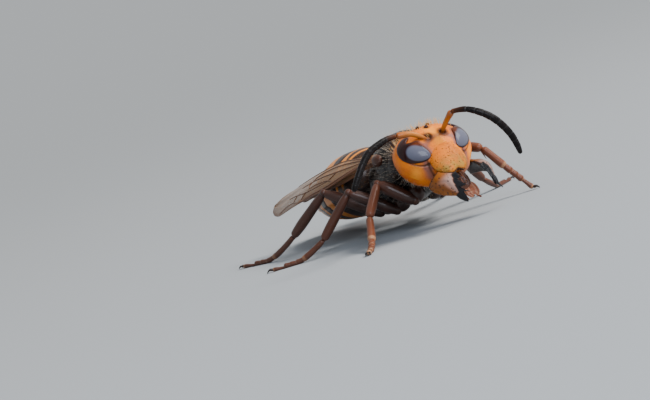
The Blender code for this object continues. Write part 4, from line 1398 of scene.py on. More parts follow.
@dataclass
class ThoraxForm:
    """Thorax of swollen plates run together, with its seams, wing scales and neck."""

    plates: tuple[tuple[Triple, Triple], ...] = (
        ((0.0, -4.3, 0.4), (4.5, 2.9, 3.7)),
        ((0.0, -1.3, 1.5), (4.6, 4.7, 4.0)),
        ((0.0, 3.7, 2.9), (3.2, 1.9, 2.2)),
        ((0.0, 5.2, 1.7), (3.0, 1.3, 2.1)),
        ((0.0, 4.2, -0.5), (4.1, 2.9, 3.8)),
        ((0.0, -0.4, -0.9), (4.9, 5.6, 4.1)),
    )
    roundness: float = 0.9
    tegula_at: Triple = (4.45, -1.7, 2.5)
    tegula_half: Triple = (0.8, 1.35, 0.9)
    neck_front: Triple = (0.0, 0.8, 0.2)
    neck_back: Triple = (0.0, -4.5, 0.2)
    neck_radii: Triple = (1.66, 1.62, 1.66)
    voxel: float = 0.13
    coat_depth: float = 0.04

    @staticmethod
    def _seams(place: Vector) -> float:
        """Works out the seams: down the middle and beside it, across the back, on the flanks and behind.

        Args:
            place: A place in the frame of the thorax.

        Returns:
            Their depth there.
        """
        wide = abs(place.x)
        top = ramp(1.5, 3.0, place.z)
        side = ramp(3.0, 4.2, wide)
        x, y = place.x, place.y
        depth = 0.10 * bell(x, 0.0, 0.09) * top * ramp(-4.6, -3.6, y) * ramp(1.2, 0.2, y)
        depth += 0.07 * bell(wide, 1.7, 0.09) * top * ramp(-3.0, -2.0, y) * ramp(2.2, 1.2, y)
        depth += 0.12 * bell(place.y, 2.35, 0.12) * top
        depth += 0.10 * side * bell(place.y + 0.25 * place.z, -2.6, 0.1) * ramp(2.8, 1.8, place.z)
        depth += 0.10 * side * bell(place.y - 0.2 * place.z, 1.9, 0.1) * ramp(2.4, 1.4, place.z)
        depth += 0.06 * bell(place.x, 0.0, 0.12) * ramp(5.0, 6.2, place.y)
        return depth

    def _fused(self) -> bpy.types.Mesh:
        """Runs the plates together into one skin.

        Returns:
            The mesh, in millimetres in the frame of the thorax.
        """
        shape = Shape()
        for middle, half in self.plates:
            shape.add_ball(
                lambda unit: (Vector(middle) + Vector([
                    (own - self.coat_depth) * signed_power(part, self.roundness)
                    for own, part in zip(half, unit)
                ]), {}),
                64, 40,
            )
        data = bpy.data.meshes.new("plates")
        data.from_pydata([place for place, _ in shape.spots], [], shape.faces)
        holder = into_scene("plates", data)
        remesh = holder.modifiers.new("fuse", "REMESH")
        remesh.mode = "VOXEL"
        remesh.voxel_size = self.voxel
        holder.modifiers.new("smooth", "SMOOTH").iterations = 4
        fused = evaluated_mesh(holder)
        bpy.data.objects.remove(holder)
        return fused

    def _skin(self) -> bpy.types.Mesh:
        """Cuts the seams into the fused plates and paints them.

        Returns:
            The mesh, in metres.
        """
        data = self._fused()
        paints, moved = [], []
        for place, normal in [(vertex.co.copy(), vertex.normal.copy()) for vertex in data.vertices]:
            depth = self._seams(place)
            top = ramp(0.5, 2.5, place.z)
            warm = bell(place.y, -5.6, 1.2) * ramp(1.0, 3.0, place.z) + 0.5 * bell(place.y, 4.4, 0.7) * top
            paints.append({
                "across": 0.5 + math.atan2(normal.x, normal.y) / (2 * math.pi), "along": 0.5 + 0.5 * normal.z,
                "fur": 0.55 + 0.45 * top + 0.3 * ramp(-3.0, -5.0, place.y),
                "band": min(0.35 * warm, 1.0), "dusk": min(depth * 8.0, 1.0),
            })
            moved.extend(place - normal * (depth + 0.02 * grain(place, 1.1)))
        data.vertices.foreach_set("co", moved)
        for key in sorted(paints[0]):
            paint_points(data, key, [paint[key] for paint in paints])
        data.transform(Matrix.Scale(MM, 4) @ STANCE.thorax)
        data.shade_smooth()
        return data

    def dress(self, workshop: Workshop) -> Skins:
        """Builds the thorax skin, the wing scales and the neck.

        Args:
            workshop: Where pieces are made.

        Returns:
            The pieces that carry hair, by name.
        """
        made = {"thorax": workshop.piece("thorax_skin", self._skin(), "black", ["thorax"])}
        scales = Shape()
        for side in Side:
            scales.add_ball(
                lambda unit: (side.of(self.tegula_at) + Vector([
                    half * part * (1.0 + 0.02 * grain(unit, 2.0))
                    for half, part in zip(self.tegula_half, unit)
                ]), {"band": 0.4, "dusk": 0.3}),
                40, 28,
            )
        workshop.form("wing_scales", scales, STANCE.thorax, "leg")
        inside, back = STANCE.head @ Vector(self.neck_front), STANCE.thorax @ Vector(self.neck_back)
        neck = Shape().add_rod(
            (inside, inside.lerp(back, 0.5), back), self.neck_radii, 48, 0.08,
            profile=lambda share, turn: 1.0 - 0.04 * math.sin(share * 60.0) ** 2,
        )
        workshop.form("neck_skin", neck, Matrix(), "black", "neck")
        return made


@dataclass
class AbdomenForm:
    """Abdomen of six lapped rings with amber bands, and its waist."""

    waist_in_thorax: Triple = (0.0, 7.0, -1.9)
    start: float = 1.55
    rise: float = 2.4
    pitch: float = math.radians(2.0)
    droop: float = math.radians(15.0)
    length: float = 22.4
    flatness: float = 0.84
    ring_ends: tuple[float, ...] = (0.0, 4.7, 10.0, 14.0, 17.3, 20.0, 22.4)
    half_widths: tuple[tuple[float, float], ...] = (
        (0.0, 1.3), (0.35, 2.7), (1.1, 4.1), (2.4, 5.2), (4.7, 5.75), (7.5, 5.95), (10.0, 5.9),
        (12.5, 5.6), (14.0, 5.3), (16.0, 4.75), (17.3, 4.3), (19.0, 3.5), (20.0, 2.9),
        (21.2, 1.95), (22.0, 1.1), (22.4, 0.45),
    )
    lip: float = 0.16
    lap: float = 0.7
    waist_radius: float = 0.95
    band_starts: tuple[float, ...] = (0.80, 0.52, 0.55, 0.56, 0.50, -1.0)
    around: int = 120
    rows: int = 46

    def frame(self, along: float) -> Matrix:
        """Follows the drooping axis.

        Args:
            along: Distance along it.

        Returns:
            The frame there.
        """
        at = STANCE.thorax @ Vector(self.waist_in_thorax) + Vector((0.0, self.start, self.rise))
        steps = 24
        length = max(along, 0.0) / steps
        for index in range(steps):
            lean = self.pitch + self.droop * (index + 0.5) * length / self.length
            at += Vector((0.0, math.cos(lean), -math.sin(lean))) * length
        return tipped(at, self.pitch + self.droop * along / self.length)

    def half(self, along: float) -> float:
        """Reads the half width smoothly from the table.

        Args:
            along: Distance along the axis.

        Returns:
            Half the width there.
        """
        table = self.half_widths
        if along <= table[0][0]:
            return table[0][1]
        for index in range(len(table) - 1):
            (low, first), (high, second) = table[index], table[index + 1]
            if along <= high:
                before, after = table[max(index - 1, 0)], table[min(index + 2, len(table) - 1)]
                slope_in = (second - before[1]) / max(high - before[0], 1e-6)
                slope_out = (after[1] - first) / max(after[0] - low, 1e-6)
                span, share = high - low, (along - low) / (high - low)
                square, cube = share * share, share ** 3
                return (
                    (2 * cube - 3 * square + 1) * first + (cube - 2 * square + share) * span * slope_in
                    + (3 * square - 2 * cube) * second + (cube - square) * span * slope_out
                )
        return table[-1][1]

    def band(self, ring: int, share: float, turn: float) -> float:
        """Works out how amber a place is, with a wavy front edge to each band.

        Args:
            ring: The ring's number.
            share: Share of the ring's own length.
            turn: Angle round it.

        Returns:
            0 for black, 1 for amber.
        """
        top = math.sin(turn)
        side = abs(math.cos(turn))
        edge = self.band_starts[ring]
        if edge < 0:
            return 1.0
        wave = 0.09 * math.cos(turn * 4.0) * (1.0 - 0.3 * side)
        wave += 0.03 * noise.noise(Vector((turn * 3, ring, 0)))
        edge += wave + (0.12 if top < -0.35 else 0.0)
        amber = ramp(edge - 0.02, edge + 0.03, share)
        if ring == 0:
            amber = max(amber, bell(share, 0.56 + 0.05 * side, 0.045) * ramp(-0.1, 0.2, top))
        return amber

    def _row(self, number: int, share: float, along: float) -> list[Spot]:
        """Works out one row of a ring's points, with the step between back and belly.

        Args:
            number: The ring's number.
            share: Share of the rows, with those under the ring before.
            along: Distance along the axis.

        Returns:
            The points.
        """
        start, end = self.ring_ends[number], self.ring_ends[number + 1]
        own = max((along - start) / (end - start), 0.0)
        half = self.half(along) + self.lip * own - 0.03
        if number:
            half -= 0.28 * (1 - ramp(0.0, 0.22, own))
        half -= 0.07 * ramp(0.955, 1.0, own) if number < 5 else 0.0
        frame = self.frame(along)
        made = []
        for across, turn in circle(self.around):
            top = math.sin(turn)
            belly = ramp(-0.30, -0.36, top)
            reach = half - 0.14 * belly + 0.05 * bell(top, -0.27, 0.06) - 0.05 * bell(top, -0.34, 0.04)
            place = Vector((reach * math.cos(turn), 0.0, reach * self.flatness * top))
            place += place.normalized() * (0.018 * grain(frame @ place, 1.0, number))
            amber = self.band(number, own, turn)
            made.append((frame @ place, {
                "across": across, "along": (number + share) / 6.0, "band": amber,
                "dusk": 0.55 * ramp(0.93, 1.0, own) * amber * (number < 5)
                + 0.6 * amber * (1 - ramp(0.0, 0.10, amber)),
                "fur": 0.25 + 0.35 * own + 0.5 * (number in (0, 5)),
            }))
        return made

    def ring(self, number: int) -> Shape:
        """Shapes one ring, from under the ring before to its own thin hind edge.

        Args:
            number: The ring's number.

        Returns:
            Its closed skin.
        """
        end = self.ring_ends[number + 1]
        begin = self.ring_ends[number] - (self.lap if number else 0.0)
        shares = [(row / self.rows) ** (1.0 if number else 1.5) for row in range(self.rows + 1)]
        rows = [self._row(number, share, begin + (end - begin) * share) for share in shares]
        nose = Vector((0.0, 0.25 if number == 5 else 0.0, 0.0))
        front = (self.frame(begin) @ Vector(), rows[0][0][1])
        back = (self.frame(end) @ nose, rows[-1][0][1])
        return Shape().add_rows([[front], *rows, [back]])

    def dress(self, workshop: Workshop) -> Skins:
        """Builds the rings, the waist with the first.

        Args:
            workshop: Where pieces are made.

        Returns:
            The pieces that carry hair, by name.
        """
        made = {}
        for number in range(6):
            shape = self.ring(number)
            if number == 0:
                inside = STANCE.thorax @ (Vector(self.waist_in_thorax) + Vector((0.0, -1.0, 0.0)))
                behind = self.frame(1.2) @ Vector((0.0, 0.0, -self.rise * 0.45))
                shape.add_rod((inside, behind), (self.waist_radius - 0.04, self.waist_radius * 1.45), 40, 0.1,
                              paint=all_over(fur=0.2))
            skin = f"abdomen_{number + 1}_skin"
            made[skin] = workshop.form(skin, shape, Matrix(), "banded", f"abdomen_{number + 1}")
        return made


class Pair(Named):
    """The three pairs of legs, each with how warm its colour is."""

    FRONT = 1.0
    MIDDLE = 0.45
    HIND = 0.35


@dataclass(frozen=True)
class LegSizes:
    """Sizes of one leg, its places for the left side."""

    coxa: tuple[Triple, Triple]
    coxa_radii: Triple
    femur_radii: tuple[float, ...]
    tibia_radii: tuple[float, ...]
    knee: Triple
    ankle: Triple
    toe: Triple
    bend: float
    spurs: int


FRONT_LEFT = LegSizes(
    ((1.75, -4.6, -3.0), (2.7, -5.6, -5.2)), (1.25, 1.25, 0.85),
    (0.62, 0.98, 0.95, 0.6), (0.5, 0.68, 0.72, 0.62),
    (6.9, -9.6, 9.4), (8.9, -13.9, 8.0), (13.4, -16.75, 0.25), 0.02, 1,
)
FRONT_RIGHT = replace(
    FRONT_LEFT, knee=(6.6, -9.4, 8.0), ankle=(10.6, -12.0, 4.2), toe=(15.4, -18.6, 0.25), bend=0.3)
MIDDLE_LEG = LegSizes(
    ((2.1, -0.6, -3.5), (3.4, -0.5, -5.5)), (1.25, 1.25, 0.9),
    (0.6, 0.92, 0.88, 0.58), (0.48, 0.68, 0.7, 0.6),
    (9.2, -4.6, 7.8), (14.0, -1.6, 2.3), (21.0, 3.4, 0.25), 0.45, 2,
)
HIND_LEG = LegSizes(
    ((2.1, 3.2, -3.0), (3.6, 4.4, -4.9)), (1.35, 1.35, 0.9),
    (0.62, 0.98, 0.9, 0.6), (0.48, 0.72, 0.78, 0.62),
    (9.4, 3.4, 8.3), (13.4, 10.2, 3.1), (18.3, 21.2, 0.25), 0.42, 2,
)


@dataclass
class LegForm:
    """Leg of coxa, trochanter, femur, tibia and a foot of five joints with two claws."""

    sizes: dict[Pair, tuple[LegSizes, LegSizes]] = field(default_factory=lambda: {
        Pair.FRONT: (FRONT_LEFT, FRONT_RIGHT), Pair.MIDDLE: (MIDDLE_LEG,) * 2, Pair.HIND: (HIND_LEG,) * 2})
    foot_joints: tuple[tuple[float, float], ...] = (
        (0.43, 0.5), (0.13, 0.46), (0.11, 0.44), (0.1, 0.44), (0.23, 0.42))
    joint_shape: tuple[float, ...] = (0.78, 0.86, 0.92, 0.9)
    last_shape: tuple[float, ...] = (0.45, 0.6, 0.8, 0.85)
    front_foot_swell: float = 0.3
    toe_radius: float = 0.36
    claw_length: float = 0.85
    pad_half: Triple = (0.2, 0.2, 0.13)
    knob_radius: float = 0.68
    knee_radius: float = 0.57

    @staticmethod
    def _foot_point(ankle: Vector, toe: Vector, bend: float, share: float, radius: float) -> Vector:
        """Follows the bent line of a foot.

        Args:
            ankle: Its start.
            toe: Its end.
            bend: Share of the drop that it sags by.
            share: Share of the way.
            radius: Radius there, which keeps it above the floor.

        Returns:
            The place.
        """
        sag = (ankle.z - toe.z) * bend * math.sin(math.pi * share)
        place = ankle.lerp(toe, share) - Vector((0.0, 0.0, sag))
        place.z = max(place.z, radius - 0.06)
        return place

    def _foot(self, shape: Shape, ankle: Vector, toe: Vector, bend: float, warm: float) -> Vector:
        """Adds the five joints of a foot, each with a pale seam at its end.

        Args:
            shape: The leg's skin.
            ankle: Start of the foot.
            toe: Its end.
            bend: Share of the drop that it sags by.
            warm: How warm its colour is.

        Returns:
            The direction of its end.
        """
        begin = 0.0
        for number, (part, radius) in enumerate(self.foot_joints):
            end = begin + part
            swell = self.front_foot_swell * ramp(0.8, 1.0, warm)
            radius *= 1.0 + swell * (1.0 if number == 0 else 0.75)
            marks = (max(begin - 0.03, 0.0), begin + part * 0.35, end - part * 0.2, min(end + 0.022, 1.0))
            sizes = [radius * share for share in (self.last_shape if number == 4 else self.joint_shape)]
            points = [self._foot_point(ankle, toe, bend, mark, size) for mark, size in zip(marks, sizes)]
            shape.add_rod(points, sizes, 18, 0.1, paint=lambda share, turn, place: {
                "band": warm * (0.95 - 0.06 * number), "fur": ramp(0.45, 0.9, place.z),
                "bloom": 0.5 * warm * ramp(0.82, 0.88, share),
            })
            begin = end
        return (points[-1] - points[-2]).normalized()

    def _claws(self, shape: Shape, toe: Vector, direction: Vector) -> None:
        """Adds two hooked claws and the pad between them.

        Args:
            shape: The leg's skin.
            toe: End of the foot.
            direction: Direction of its end.
        """
        flat = Vector((direction.x, direction.y, 0.0)).normalized()
        sideways = Vector((-flat.y, flat.x, 0.0))
        for side in (1, -1):
            root = toe - direction * 0.2 + sideways * (0.08 * side)
            knuckle = toe + flat * (0.45 * self.claw_length) + sideways * (0.26 * side)
            knuckle.z = max(knuckle.z + 0.14, 0.24)
            end = toe + flat * self.claw_length + sideways * (0.36 * side)
            end.z = 0.07
            shape.add_rod((root, knuckle, end), (0.2, 0.14, 0.035), 12, 0.06,
                          paint=lambda share, turn, place: {"dusk": ramp(0.2, 0.6, share)})
        pad = toe + flat * 0.2
        pad.z = max(pad.z, 0.2)
        half = Vector(self.pad_half)
        shape.add_ball(lambda unit: (pad + unit * half, {"bloom": 0.5}), 16, 10)

    @staticmethod
    def _spurs(shape: Shape, count: int, knee: Vector, ankle: Vector, toe: Vector) -> None:
        """Adds the movable spurs at the end of the tibia.

        Args:
            shape: The leg's skin.
            count: How many there are.
            knee: Start of the tibia.
            ankle: Its end.
            toe: End of the foot.
        """
        ahead = (ankle - knee).normalized()
        inward = ((toe - ankle).normalized() - ahead * 0.2).normalized()
        beside = ahead.cross(inward).normalized()
        for number in range(count):
            lean = beside * (0.35 if number else -0.35)
            root = ankle - ahead * 0.15 + lean * 0.8 - Vector((0.0, 0.0, 0.25))
            end = root + (inward + lean * 0.5).normalized() * 1.2 - Vector((0.0, 0.0, 0.25))
            end.z = max(end.z, 0.12)
            middle = root.lerp(end, 0.5)
            shape.add_rod((root, middle, end), (0.11, 0.09, 0.03), 10, 0.1, paint=all_over(band=0.8))

    def leg(self, pair: Pair, side: Side) -> Shape:
        """Shapes the whole skin of one leg.

        Args:
            pair: Which pair.
            side: Which side.

        Returns:
            The skin, in the frame of the ground.
        """
        left, right = self.sizes[pair]
        sizes = left if side is Side.LEFT else right
        knee, ankle, toe = (side.of(place) for place in (sizes.knee, sizes.ankle, sizes.toe))
        frame = STANCE.ground.inverted() @ STANCE.thorax
        hip, socket = (frame @ side.of(place) for place in sizes.coxa)
        warm = pair.value
        shape = Shape()

        def limb(points: Sequence[Vector], radii: Sequence[float], base: float, tip: float,
                 **rules: Callable) -> None:
            """Adds a limb piece that warms towards its end.

            Args:
                points: Places that it runs through.
                radii: Its radius at each.
                base: How warm its start is.
                tip: How warm its end is.
                rules: Its profile, if it has one.
            """
            shape.add_rod(points, radii, 28, 0.14, paint=lambda share, turn, place: {
                "band": warm * (base + (tip - base) * share) + 0.35 * ramp(0.94, 1.0, share),
                "dusk": 0.35 * bell(share, 0.0, 0.05), "fur": 0.7,
            }, **rules)

        def joint(middle: Vector, radius: float, band: float, fur: float) -> None:
            """Adds a round joint."""
            shape.add_ball(lambda unit: (middle + unit * radius, {"band": band, "fur": fur}), 24, 16)

        limb((hip, hip.lerp(socket, 0.5), socket), sizes.coxa_radii, 0.0, 0.1)
        joint(socket.lerp(knee, 0.07), self.knob_radius, 0.25 * warm, 0.4)
        limb([socket, socket.lerp(knee, 0.3), socket.lerp(knee, 0.7), knee], sizes.femur_radii, 0.05, 0.35)
        limb([knee, knee.lerp(ankle, 0.3), knee.lerp(ankle, 0.7), ankle], sizes.tibia_radii, 0.55, 0.95,
             profile=lambda share, turn: 1.0 - 0.10 * bell(share, 0.05, 0.03))
        joint(knee, self.knee_radius, 0.4 * warm, 0.5)
        direction = self._foot(shape, ankle, toe, sizes.bend, max(warm, 0.5))
        self._claws(shape, self._foot_point(ankle, toe, sizes.bend, 1.0, self.toe_radius), direction)
        self._spurs(shape, sizes.spurs, knee, ankle, toe)
        return shape

    def dress(self, workshop: Workshop) -> Skins:
        """Builds the six legs.

        Args:
            workshop: Where pieces are made.

        Returns:
            The pieces that carry hair, by name.
        """
        made = {}
        for pair in Pair:
            for side in Side:
                stem = f"leg_{pair.word}_{side.word}"
                nodes = [f"{stem}_{part}" for part in ("coxa", "femur", "tibia", "foot")]
                skin = f"{stem}_skin"
                made[skin] = workshop.form(skin, self.leg(pair, side), STANCE.ground, "leg", *nodes)
        return made


class GeometryRecipe(NodeBench):
    """Geometry node tree under construction, run once on an object and baked into a plain mesh."""

    def __init__(self, name: str) -> None:
        """Starts a tree with a geometry input and output.

        Args:
            name: The tree's name.
        """
        super().__init__(bpy.data.node_groups.new(name, "GeometryNodeTree"))
        for way in ("OUTPUT", "INPUT"):
            self.tree.interface.new_socket("Geometry", in_out=way, socket_type="NodeSocketGeometry")
        self.inlet = self.tree.nodes.new("NodeGroupInput")
        self.outlet = self.tree.nodes.new("NodeGroupOutput")

    def size(self, name: str, kind: str = "Float") -> Socket:
        """Adds a named input and gives its socket."""
        self.tree.interface.new_socket(name, in_out="INPUT", socket_type=f"NodeSocket{kind}")
        return self.inlet.outputs[name]

    def painted(self, name: Source) -> Socket:
        """Value painted on the points under a name."""
        values = {"Name": name}
        return self.node("GeometryNodeInputNamedAttribute", values, data_type="FLOAT").outputs["Attribute"]

    def number(self, operation: str, first: Source, second: Source) -> Socket:
        """Result of a Math node."""
        return self.node("ShaderNodeMath", {0: first, 1: second}, operation=operation).outputs[0]

    def vector(self, operation: str, first: Source, *others: Source) -> Socket:
        """Result of a Vector Math node."""
        values = dict(enumerate((first, *others)))
        return self.node("ShaderNodeVectorMath", values, operation=operation).outputs[0]

    def close(self, geometry: Socket) -> None:
        """Realizes instances, gives the material and ends the tree.

        Args:
            geometry: What the tree makes.
        """
        real = self.node("GeometryNodeRealizeInstances", {"Geometry": geometry}).outputs["Geometry"]
        values = {"Geometry": real, "Material": self.size("Material", "Material")}
        dressed = self.node("GeometryNodeSetMaterial", values)
        self.fill(self.outlet.inputs["Geometry"], dressed.outputs["Geometry"])

    def run(self, holder: bpy.types.Object, name: str, values: dict[str, object]) -> bpy.types.Mesh:
        """Runs the tree on an object.

        Args:
            holder: The object that gives the geometry.
            name: Name of the new mesh.
            values: The tree's inputs by name.

        Returns:
            The plain mesh that the tree makes.
        """
        step = holder.modifiers.new(self.tree.name, "NODES")
        step.node_group = self.tree
        for item in self.tree.interface.items_tree:
            if item.item_type == "SOCKET" and item.in_out == "INPUT" and item.name in values:
                step[item.identifier] = values[item.name]
        made = evaluated_mesh(holder)
        made.name = name
        holder.modifiers.remove(step)
        return made


class FurTree(GeometryRecipe):
    """Grows tapered hairs on a skin, as thick as its painted density says."""

    JITTER = 0.45

    def __init__(self) -> None:
        """Builds the tree: roots, the direction and length of each hair, and the hairs."""
        super().__init__("fur")
        per_area, stand = self.size("Hairs per area"), self.size("Stand")
        length, spread = self.size("Length"), self.size("Length spread")
        density, seed = self.size("Density name", "String"), self.size("Seed", "Int")
        lie, hair = self.size("Lie", "Vector"), self.size("Hair", "Object")
        amount = self.number("MULTIPLY", self.painted(density), per_area)
        roots = self.node(
            "GeometryNodeDistributePointsOnFaces",
            {"Mesh": self.inlet.outputs["Geometry"], "Density": amount, "Seed": seed},
            distribute_method="RANDOM",
        )
        normal = roots.outputs["Normal"]
        flow = self.vector("NORMALIZE", self.vector("SUBTRACT", lie, self.vector("PROJECT", lie, normal)))
        raised = self.node("ShaderNodeVectorMath", {0: normal, "Scale": stand}, operation="SCALE").outputs[0]
        jitter = self.node(
            "FunctionNodeRandomValue", {0: (-self.JITTER,) * 3, 1: (self.JITTER,) * 3, "Seed": seed},
            data_type="FLOAT_VECTOR",
        )
        aim = self.vector("ADD", self.vector("ADD", flow, raised), jitter.outputs[0])
        turned = self.node("FunctionNodeAlignRotationToVector", {"Vector": aim}, axis="Z")
        reach = self.node("FunctionNodeRandomValue", {
            2: self.number("SUBTRACT", length, spread), 3: self.number("ADD", length, spread), "Seed": seed,
        }, data_type="FLOAT")
        template = self.node("GeometryNodeObjectInfo", {"Object": hair})
        placed = self.node("GeometryNodeInstanceOnPoints", {
            "Points": roots.outputs["Points"], "Instance": template.outputs["Geometry"],
            "Rotation": turned.outputs["Rotation"], "Scale": reach.outputs[1],
        })
        self.close(placed.outputs["Instances"])


class VeinTree(GeometryRecipe):
    """Turns the edges of a net of veins into round ribs of their painted radius."""

    def __init__(self) -> None:
        """Builds the tree."""
        super().__init__("veins")
        sides = self.size("Sides", "Int")
        curves = self.node("GeometryNodeMeshToCurve", {"Mesh": self.inlet.outputs["Geometry"]})
        radius = self.painted("rib")
        ring = self.node("GeometryNodeCurvePrimitiveCircle", {"Resolution": sides, "Radius": 1.0})
        sized = self.node("GeometryNodeSetCurveRadius", {"Curve": curves.outputs["Curve"], "Radius": radius})
        ribs = self.node("GeometryNodeCurveToMesh", {
            "Curve": sized.outputs["Curve"], "Profile Curve": ring.outputs["Curve"],
            "Scale": radius, "Fill Caps": True,
        })
        self.close(ribs.outputs["Mesh"])


class Wing(Named):
    """The two wings of a side: start and end on the shared spine, half width and lift off it."""

    FORE = (0.0, 1.0, 2.35, 0.0)
    HIND = (0.03, 0.7, 1.7, -1.0)


@dataclass
class WingForm:
    """Folded wings: thin pleated film over each flank with a net of veins on it."""

    root: Triple = (4.7, -7.2, 11.45)
    tip: Triple = (9.0, 24.4, 7.0)
    roof: float = math.radians(40.0)
    bow: float = 0.9
    rise: float = 0.55
    camber: float = 0.45
    film: float = 0.05
    widest: float = 2.35
    round_from: float = 0.86
    round_length: float = 0.14
    rows: int = 130
    columns: int = 34
    vein_steps: int = 40
    veins: dict[Wing, tuple[tuple[float, tuple[tuple[float, float], ...]], ...]] = field(
        default_factory=lambda: {
            Wing.FORE: (
                (0.17, ((0.0, 0.55), (0.12, 0.86), (0.3, 0.97), (0.5, 0.99), (0.64, 0.985))),
                (0.15, ((0.01, 0.35), (0.14, 0.66), (0.32, 0.80), (0.5, 0.88), (0.62, 0.95))),
                (0.12, ((0.64, 0.98), (0.71, 0.72), (0.8, 0.66), (0.88, 0.86))),
                (0.11, ((0.30, 0.78), (0.36, 0.42), (0.46, 0.28), (0.55, 0.30))),
                (0.11, ((0.36, 0.42), (0.47, 0.50), (0.58, 0.46), (0.69, 0.30), (0.78, 0.22))),
                (0.10, ((0.58, 0.46), (0.60, 0.70), (0.62, 0.93))),
                (0.10, ((0.68, 0.31), (0.70, 0.55), (0.71, 0.73))),
                (0.12, ((0.02, 0.05), (0.15, 0.10), (0.3, 0.02),
                        (0.42, -0.10), (0.55, -0.18), (0.66, -0.16))),
                (0.10, ((0.30, 0.02), (0.33, 0.22), (0.36, 0.42))),
                (0.10, ((0.55, 0.30), (0.56, 0.05), (0.55, -0.18))),
                (0.11, ((0.03, -0.30), (0.2, -0.52), (0.38, -0.58), (0.5, -0.50), (0.55, -0.18))),
                (0.10, ((0.03, -0.6), (0.25, -0.95), (0.5, -0.985), (0.8, -0.985))),
            ),
            Wing.HIND: (
                (0.13, ((0.0, 0.5), (0.2, 0.9), (0.45, 0.97), (0.7, 0.98))),
                (0.10, ((0.02, 0.2), (0.25, 0.45), (0.5, 0.5), (0.72, 0.7))),
                (0.10, ((0.02, -0.1), (0.25, -0.2), (0.5, -0.2), (0.75, -0.1))),
            ),
        }
    )
    stigma: tuple[tuple[float, float], ...] = ((0.585, 0.93), (0.625, 0.90), (0.665, 0.95))

    def point(self, wing: Wing, side: Side, along: float, across: float) -> tuple[Vector, Vector]:
        """Shapes the middle surface of a wing, with folds that run lengthwise and deepen towards the tip.

        Args:
            wing: Fore or hind.
            side: Which side.
            along: 0 at the root, 1 at the tip.
            across: -1 at the fold, 1 at the leading edge.

        Returns:
            The place and the outward direction.
        """
        begin, finish, half, lift = wing.value
        far = begin + (finish - begin) * along
        spine = Vector(self.root).lerp(Vector(self.tip), far)
        spine.x += self.bow * math.sin(math.pi * far)
        spine.z += self.rise * math.sin(math.pi * min(far * 1.15, 1.0))
        past = (along - self.round_from) / self.round_length
        round_tip = math.sqrt(max(0.0, 1.0 - past ** 2)) if along > self.round_from else 1.0
        half *= (0.3 + 0.7 * ramp(0.0, 0.4, along)) * max(round_tip, 0.12)
        outward = Vector((math.sin(self.roof), 0.0, math.cos(self.roof)))
        down = Vector((math.cos(self.roof), 0.0, -math.sin(self.roof)))
        deep = 0.03 + 0.09 * ramp(0.55, 1.0, along)
        pleat = deep * math.sin(across * 9.0 + 1.5 * math.sin(along * 5.0)) * (1.0 - across * across)
        spine += down * (half * across)
        spine += outward * (lift - self.camber * (half * across / self.widest) ** 2)
        spine += outward * pleat
        return side.of(spine), side.of(outward)

    def _film_shape(self, wing: Wing, side: Side) -> Shape:
        """Shapes the thin closed sheet of one wing, a little worn at the tip.

        Args:
            wing: Fore or hind.
            side: Which side.

        Returns:
            The sheet.
        """
        order = [(1, column) for column in range(self.columns + 1)]
        order += [(-1, column) for face, column in reversed(order)]
        rows: Rows = []
        for row in range(self.rows + 1):
            along = row / self.rows
            ring = []
            for face, column in order:
                across = 2 * column / self.columns - 1
                place, outward = self.point(wing, side, along, across)
                worn = 0.10 * ramp(0.9, 1.0, along) * grain(place, 1.2, 9.0)
                place = place + outward * (face * self.film / 2) + Vector((0.0, worn, 0.0))
                edge = ramp(0.55, 0.95, across) * 0.8 + 0.35 * ramp(0.85, 1.0, along)
                ring.append((place, {"across": (across + 1) / 2, "along": along, "band": edge}))
            rows.append(ring)
        return Shape().add_capped(rows)

    def _net(self, wing: Wing, side: Side) -> bpy.types.Mesh:
        """Lays the veins on the film as lines.

        Args:
            wing: Fore or hind.
            side: Which side.

        Returns:
            Their edges in metres, with the radius painted on as rib.
        """
        points, edges, radii = [], [], []
        for radius, path in self.veins[wing]:
            line = Line([(along, across, 0.0) for along, across in path], [radius] * len(path))
            for step in range(self.vein_steps + 1):
                share = step / self.vein_steps
                spot = line.at(line.length * share)[0]
                place, outward = self.point(wing, side, spot.x, max(-1.0, min(spot.y, 1.0)))
                if step:
                    edges.append((len(points) - 1, len(points)))
                points.append(STANCE.ground @ (place + outward * 0.03) * MM)
                radii.append(radius * (1.0 - 0.45 * spot.x) * (0.75 + 0.25 * math.sin(math.pi * share)) * MM)
        net = bpy.data.meshes.new("net")
        net.from_pydata(points, edges, [])
        paint_points(net, "rib", radii)
        return net

    def dress(self, workshop: Workshop, tree: VeinTree) -> None:
        """Builds the four wings, each a film and its veins, and the dark spot on each fore wing.

        Args:
            workshop: Where pieces are made.
            tree: Turns the net of veins into ribs.
        """
        for wing in Wing:
            for side in Side:
                stem = f"wing_{wing.word}_{side.word}"
                workshop.form(f"{stem}_film", self._film_shape(wing, side), STANCE.ground, "film", stem)
                holder = into_scene("net", self._net(wing, side))
                veins = {"Sides": 8, "Material": workshop.palette.material("vein")}
                ribs = tree.run(holder, f"{stem}_veins", veins)
                bpy.data.objects.remove(holder)
                ribs.shade_smooth()
                workshop.piece(f"{stem}_veins", ribs, "vein")
        for side in Side:
            path = [self.point(Wing.FORE, side, along, across)[0] for along, across in self.stigma]
            spot = Shape().add_rod(path, (0.08, 0.2, 0.06), 14, 0.1, paint=all_over(band=0.5))
            workshop.form(f"wing_fore_{side.word}_stigma", spot, STANCE.ground, "vein")


@dataclass(frozen=True)
class Coat:
    """One kind of hair on one skin: lengths in millimetres, stand as the share that points off the skin."""

    name: str
    skin: str
    finish: str
    per_mm2: float
    length: float
    spread: float
    stand: float
    lie: Triple
    seed: int
    thick: float = 1.0
    density: str = "fur"


